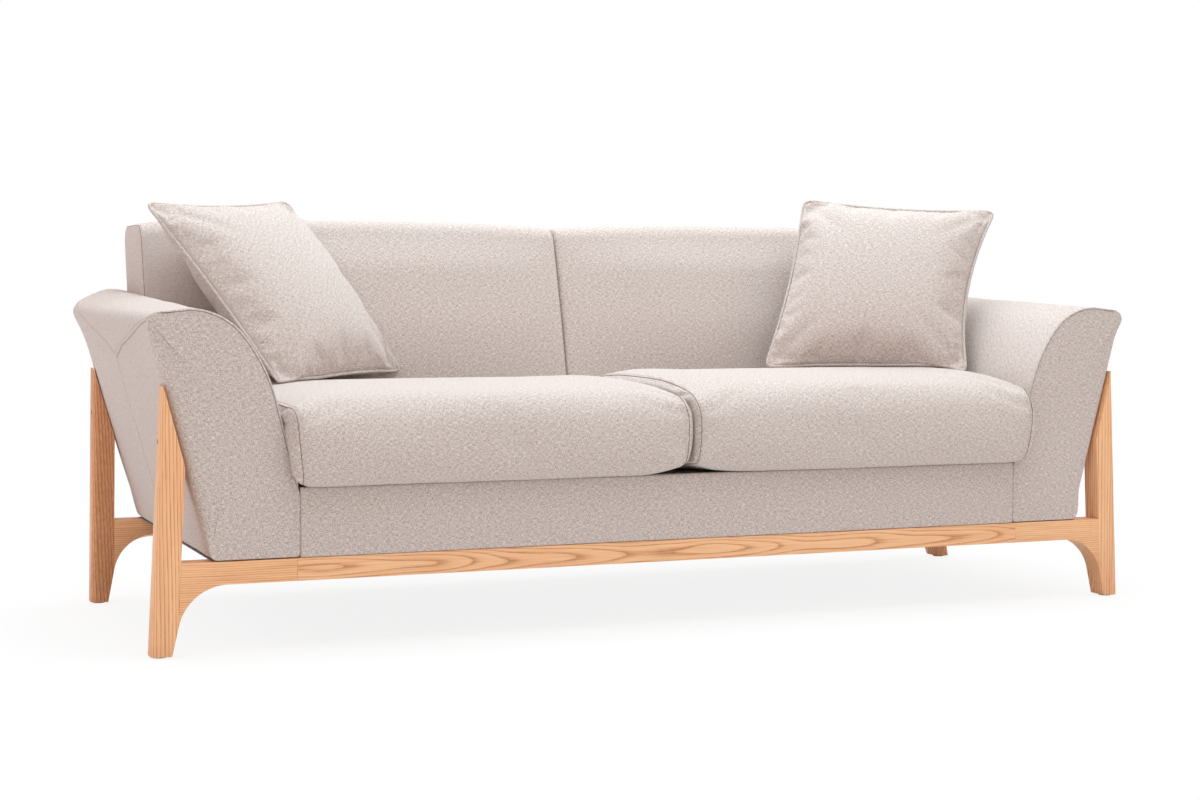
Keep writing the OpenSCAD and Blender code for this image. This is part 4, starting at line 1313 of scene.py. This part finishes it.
        rows = [ring(self.x0, inner, f) for f in shrink]
        rows += [ring(self.x0 + x, i) for x, i in edges(inner)]
        rows += [ring(x, 0.0) for x in xs]
        rows += [ring(self.x1 - x, i) for x, i in edges(outer)[::-1]]
        rows += [ring(self.x1, outer, f) for f in shrink[::-1]]
        rows = np.array(rows)
        face, total = len(shrink), len(rows)
        seam = face + turns.index(self.SEAM)
        stitch = face + turns.index(self.STITCH)
        uv = layouts(rows, rows[:, :1, 0], np.linspace(0, o.length, cols + 1), [1, 2])
        obj = shell(name, self.settle(rows) * [self.side, 1, 1], material, uv, (seam, seam + 1))

        def number(row):
            """Numbers of the points of a row of the finished shell."""
            return 1 + (row - 1) * cols + np.arange(cols)

        return (obj, *([number(row), number(total - 1 - row)] for row in (seam, stitch)))

    def contain(self, p):
        """Keeps the filled cushion clear of the deck, its neighbour, the arm and the back."""
        x, y, z = self.side * p[:, 0], p[:, 1], np.maximum(p[:, 2], DECK_TOP + CLEARANCE)
        x = np.maximum(x, self.x0 - 0.0004 + self.side * self.bulge(y, z))
        beside_arm = np.minimum(x, arm_inner(self.arm, z) - CLEARANCE)
        x = np.where(y > FRONT_Y - 0.0015, beside_arm, x)
        y = np.minimum(y, back_front(z) - 0.002)
        return np.stack([self.side * x, y, z], 1)


class SOFA_OT_seat_cushions(bpy.types.Operator):
    """Builds the two loose seat cushions, filled by the cloth simulation"""

    bl_idname = "sofa.seat_cushions"
    bl_label = "Seat cushions"

    def execute(self, context):
        scene = context.scene
        for side, name in SIDES:
            shape = SeatCushion(scene.sofa_seat, scene.sofa_arm, side)
            self.cushion(scene, shape, name)
        return {"FINISHED"}

    def cushion(self, scene, shape, name):
        obj, seams, sewn = shape.build(f"seat_cover_{name}", cloth(scene))
        rest = coords(obj)
        full = rest.copy()
        full = inflate(obj, np.concatenate(seams), shape.s.pressure)
        move = full - rest
        up = smooth(shape.z0 + 0.09, shape.z0 + 0.15, rest[:, 2])
        most_below, more_on_top = 0.007, 0.008
        p = shape.contain(rest + held_back(move, most_below + more_on_top * up))
        set_coords(obj, p)
        normals = np.empty(len(p) * 3)
        obj.data.vertices.foreach_get("normal", normals)
        normals = normals.reshape(-1, 3)
        for ring, end in zip(sewn, ("inner", "outer")):
            loop = np.append(ring, ring[:1])
            sewing = stitches(f"seat_stitch_{end}_{name}", p[loop], normals[loop], thread(scene))
            finish(sewing, f"seat_{name}")
        # Thin dark cords of painted shade along the seams.
        for ring, end in zip(seams, ("inner", "outer")):
            path = p[ring] + normals[ring] * 0.0007
            line = tube(f"seat_seam_shade_{end}_{name}", path, SEAM_SHADE_RADIUS, crease(scene), True, 6)
            finish(line, f"seat_{name}")
        middle = (p.min(0) + p.max(0)) / 2
        foam_share = [0.985, 0.975, 0.90]
        inner = middle + (p - middle) * foam_share
        faces = [tuple(f.vertices) for f in obj.data.polygons]
        core = mesh_from(f"seat_foam_{name}", inner, faces, bpy.data.materials["cut_foam"])
        finish(core, f"seat_{name}", [f"seat_core_{name}"])
        subdivide(obj)
        finish(obj, f"seat_{name}", [f"seat_cushion_{name}"])
        self.zip(shape, name)

    def zip(self, shape, name):
        """The zip, moved back with the leaning rear of the cover."""
        node = f"seat_zip_{name}"
        mesh = FRAME["nodes"][node].data.copy()
        obj = link(f"seat_zip_tape_{name}", mesh)
        p = coords(obj)
        p[:, 1] += SEAT_RAKE * (p[:, 2] - shape.z0) + 0.004
        set_coords(obj, p)
        finish(obj, f"seat_{name}", [node])


def surface_tree(obj):
    """Search tree of a piece's surface as it is."""
    return BVHTree.FromPolygons(
        coords(obj).tolist(), [tuple(f.vertices) for f in obj.data.polygons])


def keep_clear(points, tree, axis, sign, start, gaps):
    """Points moved back along an axis until they are gaps away from a surface seen from start."""
    out = np.array(points)
    direction = [0.0, 0.0, 0.0]
    direction[axis] = float(sign)
    for i, p in enumerate(out):
        origin = p.tolist()
        origin[axis] = start
        hit = tree.ray_cast(origin, direction)[0]
        if hit is not None:
            limit = hit[axis] - sign * gaps[i]
            if sign * (p[axis] - limit) > 0:
                out[i, axis] = limit
    return out


class ScatterCushion:
    """Two squares of cloth sewn along sides that pull in between the corners.

    With u and v from -1 to 1 over the square, the side pulls in as 1 - v^2 and the filling
    stands to each side of the middle by half its thickness times ((1 - u^2)(1 - v^2))^0.56.
    """

    def __init__(self, s, corners, facing, side):
        self.s, self.side = s, side
        self.corners = np.array(corners)
        self.facing = unit(np.array(facing))
        self.n = 60

    def grid(self):
        """Points of both layers in the cushion's own axes, their faces, and the seam's points."""
        n, s = self.n, self.s
        line = np.linspace(-1, 1, n + 1)
        line = 0.72 * line + 0.28 * np.sin(line * math.pi / 2)
        u, v = np.meshgrid(line, line, indexing="ij")
        h = s.size / 2
        pull = s.pull / h
        outer = np.where(u > 0, s.pull_outer / h, pull) if self.side > 0 else pull
        gap_u, gap_v = 1 - np.abs(u), 1 - np.abs(v)
        x = h * u * (1 - outer * (1 - v ** 2) * u ** 2)
        y = h * v * (1 - pull * (1 - u ** 2) * v ** 2)
        corner_reach, corner_cut = 0.11, 0.006
        near = np.clip(1 - np.hypot(gap_u, gap_v) / corner_reach, 0, 1)
        x -= np.sign(u) * near ** 2 * corner_cut
        y -= np.sign(v) * near ** 2 * corner_cut
        w = s.filling / 2 * np.clip((1 - u ** 2) * (1 - v ** 2), 0, 1) ** 0.56
        border = (np.abs(u) > 1 - 1e-9) | (np.abs(v) > 1 - 1e-9)
        first = np.arange((n + 1) ** 2).reshape(n + 1, n + 1)
        count = np.cumsum(~border.ravel()).reshape(n + 1, n + 1)
        second = np.where(border, first, (n + 1) ** 2 + count - 1)
        front = np.stack([x, y, w], -1).reshape(-1, 3)
        rear = np.stack([x, y, -w], -1)[~border]
        faces = []
        for ids, flip in ((first, 1), (second, -1)):
            quads = np.stack([ids[:-1, :-1], ids[1:, :-1], ids[1:, 1:], ids[:-1, 1:]], -1)
            faces += [tuple(q) for q in quads.reshape(-1, 4)[:, ::flip].tolist()]
        seam = np.concatenate([first[:-1, 0], first[-1, :-1], first[:0:-1, -1], first[0, :0:-1]])
        return np.vstack([front, rear]), faces, seam

    def pucker(self, p):
        """Short creases that run in from the seam, and a few long ones from the corners."""
        h = self.s.size / 2
        u, v = p[:, 0] / h, p[:, 1] / h
        edge_u, edge_v = np.clip(1 - np.abs(u), 0, 1), np.clip(1 - np.abs(v), 0, 1)
        near_u = edge_u < edge_v
        along = np.where(near_u, v, u)
        away = np.minimum(edge_u, edge_v)
        which = np.where(near_u, np.sign(u) * 2, np.sign(v)) + 1.3 * np.sign(p[:, 2])
        fine = np.sin(41 * along + 5 * which + 2.2 * np.sin(13 * along + which))
        strength = 0.55 + 0.45 * np.sin(4.3 * along + 3.1 * which)
        fine_depth, long_depth = 0.0024, 0.0040
        fade = np.exp(-((away / 0.15) ** 2)) * smooth(0.0, 0.05, away)
        crease = fine_depth * fine * strength * fade
        diagonal = np.abs(np.abs(u) - np.abs(v))
        towards_corner = smooth(0.35, 0.75, np.minimum(np.abs(u), np.abs(v)))
        corner = np.exp(-((diagonal / 0.13) ** 2)) * towards_corner
        crease -= long_depth * corner * np.cos(14 * diagonal)
        return p + np.stack([0 * u, 0 * u, np.sign(p[:, 2]) * crease], 1)

    def place(self, p):
        """From cushion to room: across the four corners, plus the filling along its facing.

        The rear side sags at the bottom, where the cushion lies on the seat.
        """
        h = self.s.size / 2
        a, b = (p[:, :1] / h + 1) / 2, (p[:, 1:2] / h + 1) / 2
        low_in, low_out, top_out, top_in = self.corners
        flat = (1 - a) * ((1 - b) * low_in + b * top_in) + a * ((1 - b) * low_out + b * top_out)
        room = flat + p[:, 2:] * self.facing
        room[:, 2:] -= self.s.sag * np.clip(-2 * p[:, 2:] / self.s.filling, 0, 1) * (1 - b) ** 2
        return room


class SOFA_OT_scatter_cushions(bpy.types.Operator):
    """Builds the two piped scatter cushions, filled by the cloth simulation"""

    bl_idname = "sofa.scatter_cushions"
    bl_label = "Scatter cushions"

    def execute(self, context):
        s = context.scene.sofa_scatter
        right = [
            (0.437, 0.500, 0.489), (0.799, 0.220, 0.484), (0.963, 0.365, 0.850), (0.588, 0.600, 0.877)]
        left = [
            (-0.396, 0.620, 0.486), (-0.722, 0.370, 0.468), (-0.960, 0.550, 0.841),
            (-0.604, 0.790, 0.857)]
        for side, name, corners, facing in (
            (-1, "left", left, (0.47, -0.67, 0.53)), (1, "right", right, (-0.50, -0.71, 0.45)),
        ):
            corners = np.array(corners) + [0, FRONT_Y, 0]
            self.cushion(context.scene, ScatterCushion(s, corners, facing, side), name)
        return {"FINISHED"}

    def cushion(self, scene, shape, name):
        rest, faces, seam = shape.grid()
        rear_layout = 0.6
        flat = rest[:, :2] + np.stack([rear_layout * (rest[:, 2] < 0), 0 * rest[:, 2]], 1)
        uv = [tuple(tuple(flat[k]) for k in f) for f in faces]
        obj = mesh_from(f"scatter_cover_{name}", rest, faces, cloth(scene), uv)
        full = rest.copy()
        full = inflate(obj, seam, shape.s.pressure, bend=0.25, spare=0.03)
        most = 0.012
        full = rest + held_back(full - rest, most)
        room = shape.place(shape.pucker(full))
        side = shape.side
        gaps = np.full(len(room), CLEARANCE)
        gaps[seam] += shape.s.piping
        front_clearance = 0.02
        stays_full = np.clip(rest[:, 2], 0, front_clearance)
        for piece, axis, way, start in (("seat_cover", 2, -1, 1.2), ("back_cushion", 1, 1, -0.6),
                                        ("arm_cover", 0, side, side * 0.2)):
            tree = surface_tree(bpy.data.objects[f"{piece}_{name}"])
            room = keep_clear(room, tree, axis, way, start, gaps + stays_full * (axis < 2))
        set_coords(obj, room)
        outwards(obj.data)
        subdivide(obj)
        finish(obj, f"scatter_{name}", [f"scatter_cushion_{name}"])
        path = soften_loop(room[seam], 3)
        cord = tube(f"scatter_piping_{name}", path, shape.s.piping, cloth(scene), True)
        finish(cord, f"scatter_{name}")
        self.filling(shape, name, room, faces)

    def filling(self, shape, name, room, faces):
        """The inner case: the space between the cover's layers, drawn in from the seam and thinned.

        Each layer is sampled at 0.72 of its distance from the middle of the square, and the
        thickness falls to nothing at the rim as the root of (1 - u^8)(1 - v^8).
        """
        n = shape.n
        inside = slice(1, n)
        front = room[:(n + 1) ** 2].reshape(n + 1, n + 1, 3)
        rear = front.copy()
        rear[inside, inside] = room[(n + 1) ** 2:].reshape(n - 1, n - 1, 3)
        drawn_in, thinned = 0.72, 0.62
        steps = np.linspace(-1, 1, n + 1)
        place = n / 2 * (1 + drawn_in * steps)
        low = place.astype(int)
        part = place - low

        def drawn(layer):
            rows = layer[low] * (1 - part)[:, None, None] + layer[low + 1] * part[:, None, None]
            return rows[:, low] * (1 - part)[:, None] + rows[:, low + 1] * part[:, None]

        front, rear = drawn(front), drawn(rear)
        between = (front + rear) / 2
        full = 1 - steps ** 8
        thick = thinned * np.sqrt(full[:, None] * full)[..., None]
        front = between + thick * (front - between)
        rear = between + thick * (rear - between)
        inner = np.vstack([front.reshape(-1, 3), rear[inside, inside].reshape(-1, 3)])
        case = mesh_from(f"scatter_case_{name}", inner, faces, bpy.data.materials["inner_case"])
        finish(case, f"scatter_{name}", [f"scatter_filling_{name}"])


# ---------------------------------------------------------------- hardware and stage


class SOFA_OT_inner_parts(bpy.types.Operator):
    """Gives every carried-over piece, from springs to bolts, its own finish"""

    bl_idname = "sofa.inner_parts"
    bl_label = "Inner parts"

    def execute(self, context):
        finishes = {
            "beech": plain("planed_beech", (0.62, 0.42, 0.25), 0.6, 40.0, 0.0002, stretch=(1, 6, 6)),
            "plywood": plain("sawn_plywood", (0.66, 0.50, 0.33), 0.7, 30.0, 0.0003, stretch=(1, 8, 14)),
            "steel": plain("zinc_plated_steel", (0.55, 0.56, 0.58), 0.35, 300.0, 0.00005, metal=1.0),
            "glide": plain("moulded_glide", (0.10, 0.09, 0.08), 0.6, 400.0, 0.0001),
            "lining": plain("taupe_lining", (0.34, 0.285, 0.26), 0.9, 900.0, 0.0003),
            "webbing": plain("elastic_webbing", (0.06, 0.06, 0.065), 0.85, 700.0, 0.0004),
            "foam": plain("cut_foam", (0.80, 0.74, 0.58), 0.9, 600.0, 0.0006),
            "filling": plain("inner_case", (0.86, 0.84, 0.80), 0.9, 500.0, 0.0003),
            "zip": plain("zip_tape", (0.36, 0.31, 0.28), 0.7, 800.0, 0.0003),
        }
        for sub in RECORD["subparts"]:
            finish_ = finishes.get(sub["material_slot"], cloth(context.scene))
            obj = FRAME["nodes"][sub["node"]]
            obj.data.materials.clear()
            obj.data.materials.append(finish_)
        bolts = FRAME["nodes"]["post_bolts"].data.materials
        bolts[0] = plain("blackened_bolt", (0.05, 0.04, 0.035), 0.6, 300.0, 0.00005, metal=0.6)
        return {"FINISHED"}


class SOFA_OT_stage(bpy.types.Operator):
    """Sets the floor, the surroundings, the lights and the camera"""

    bl_idname = "sofa.stage"
    bl_label = "Stage"

    def execute(self, context):
        s = context.scene.sofa_stage
        self.floor()
        self.world(context.scene, s)
        above, left = ((0.35, 0.25, 2.9), (0.1, 0.3, 0.3)), ((-3.2, 0.5, 2.3), (-0.8, 0.1, 0.5))
        self.lamp("key_softbox", s.key, (4.6, 2.6), *above, (0.76, 0.915, 1.0))
        self.lamp("side_softbox", s.side, (2.0, 2.4), *left, (0.93, 0.90, 1.0))
        self.camera(context.scene)
        context.scene.view_settings.view_transform = "Standard"
        return {"FINISHED"}

    def floor(self):
        """A floor nearly white to the camera: a faint shadow by the sofa and no edge further off."""
        net = Net(bpy.data.materials.new("pale_floor"))
        paint = net.node("BsdfDiffuse", {"Color": (0.86, 0.86, 0.86, 1)})
        glow = net.node("Emission", {"Color": (1, 1, 1, 1), "Strength": 1.0})
        seen = net.node("LightPath", out="Is Camera Ray")
        place = net.scaled(net.coords(), (0.8, 1, 1))
        away = net.node("VectorMath", {0: place}, "Value", operation="LENGTH")
        starts, rate, near_share = 0.9, 0.9, 0.86
        away = net.math("MULTIPLY", away - starts, rate, clamp=True)
        share = seen * (away * (1 - near_share) + near_share)
        net.output(net.node("MixShader", {0: share, 1: paint, 2: glow}))
        half_size, n = 14.0, 24
        x = np.linspace(-half_size, half_size, n)
        gx, gy = np.meshgrid(x, x)
        verts = np.stack([gx.ravel(), gy.ravel(), np.full(n * n, -0.0005)], 1)
        i = (np.arange(n - 1)[:, None] * n + np.arange(n - 1)[None, :]).ravel()
        mesh = bpy.data.meshes.new("floor")
        mesh.from_pydata(verts.tolist(), [], np.stack([i, i + 1, i + n + 1, i + n], 1).tolist())
        mesh.materials.append(net.owner)
        link("floor", mesh)

    def world(self, scene, s):
        """White to the camera; to everything else warm, and stronger and paler from above."""
        scene.world = bpy.data.worlds.new("studio")
        net = Net(scene.world)
        height = net.node("SeparateXYZ", {"Vector": net.node("TexCoord", out="Generated")}, "Z")
        below, above = 0.62, 1.40
        range_ = {"Value": height, "To Min": s.fill * below, "To Max": s.fill * above}
        tint = net.ramp(height, [(0.0, (1.0, 0.875, 0.79)), (1.0, (1.0, 0.945, 0.90))])
        soft = net.node("Background", {"Color": tint, "Strength": net.node("MapRange", range_)})
        white = net.node("Background", {"Color": (1, 1, 1, 1)})
        seen = net.node("LightPath", out="Is Camera Ray")
        net.output(net.node("MixShader", {0: seen, 1: soft, 2: white}), "World")

    def aim(self, obj, right, up, back, place):
        """Turns an object so that its own X, Y and Z point right, up and back."""
        axes = np.column_stack([right, up, back, place])
        obj.matrix_world = Matrix(np.vstack([axes, [0, 0, 0, 1]]).tolist())

    def lamp(self, name, power, size, place, target, tint):
        """An area light that faces a target."""
        data = bpy.data.lights.new(name, "AREA")
        data.shape, data.size, data.size_y = "RECTANGLE", *size
        data.energy, data.color = power, tint
        away = unit(np.array(place) - np.array(target))
        right = unit(np.cross([0.0, 1e-3, 1.0], away))
        self.aim(link(name, data), right, np.cross(away, right), away, place)

    def camera(self, scene):
        """Camera 0.69 m up, in front and to the left, turned 22.65 degrees and tipped down 3.37."""
        yaw, pitch, roll = 0.395325, -0.058761, 0.0043216
        level = math.cos(pitch)
        ahead = np.array([math.sin(yaw) * level, math.cos(yaw) * level, math.sin(pitch)])
        right = np.array([math.cos(yaw), -math.sin(yaw), 0.0])
        up = np.cross(right, ahead)
        c, s = math.cos(roll), math.sin(roll)
        data = bpy.data.cameras.new("view")
        data.sensor_width, data.sensor_fit, data.lens = 36.0, "HORIZONTAL", 61.78
        scene.camera = link("view", data)
        place = [-1.7269, -4.1352, 0.6897]
        self.aim(scene.camera, c * right + s * up, c * up - s * right, -ahead, place)


class SOFA_PT_panel(bpy.types.Panel):
    """Sofa sizes, colours and building steps"""

    bl_idname = "SOFA_PT_panel"
    bl_label = "Sofa"
    bl_space_type = "VIEW_3D"
    bl_region_type = "UI"
    bl_category = "Sofa"

    def draw(self, context):
        for attribute, _ in SETTINGS:
            group = getattr(context.scene, attribute)
            box = self.layout.box()
            for key in group.__annotations__:
                box.prop(group, key)
        for step in STEPS:
            self.layout.operator(step.bl_idname)


SETTINGS = [
    ("sofa_finish", SofaFinishSettings),
    ("sofa_arm", SofaArmSettings),
    ("sofa_back", SofaBackSettings),
    ("sofa_seat", SofaSeatSettings),
    ("sofa_scatter", SofaScatterSettings),
    ("sofa_stage", SofaStageSettings),
]
STEPS = [
    SOFA_OT_inner_parts, SOFA_OT_frames, SOFA_OT_arms, SOFA_OT_apron, SOFA_OT_back,
    SOFA_OT_seat_cushions, SOFA_OT_scatter_cushions, SOFA_OT_stage,
]


def register():
    for attribute, group in SETTINGS:
        bpy.utils.register_class(group)
        setattr(bpy.types.Scene, attribute, bpy.props.PointerProperty(type=group))
    for cls in (*STEPS, SOFA_PT_panel):
        bpy.utils.register_class(cls)


def unregister():
    for cls in (SOFA_PT_panel, *reversed(STEPS)):
        bpy.utils.unregister_class(cls)
    for attribute, group in reversed(SETTINGS):
        delattr(bpy.types.Scene, attribute)
        bpy.utils.unregister_class(group)


def main():
    """Builds the sofa step by step."""
    register()
    for step in STEPS:
        module, name = step.bl_idname.split(".")
        getattr(getattr(bpy.ops, module), name)()


if __name__ == "__main__":
    main()
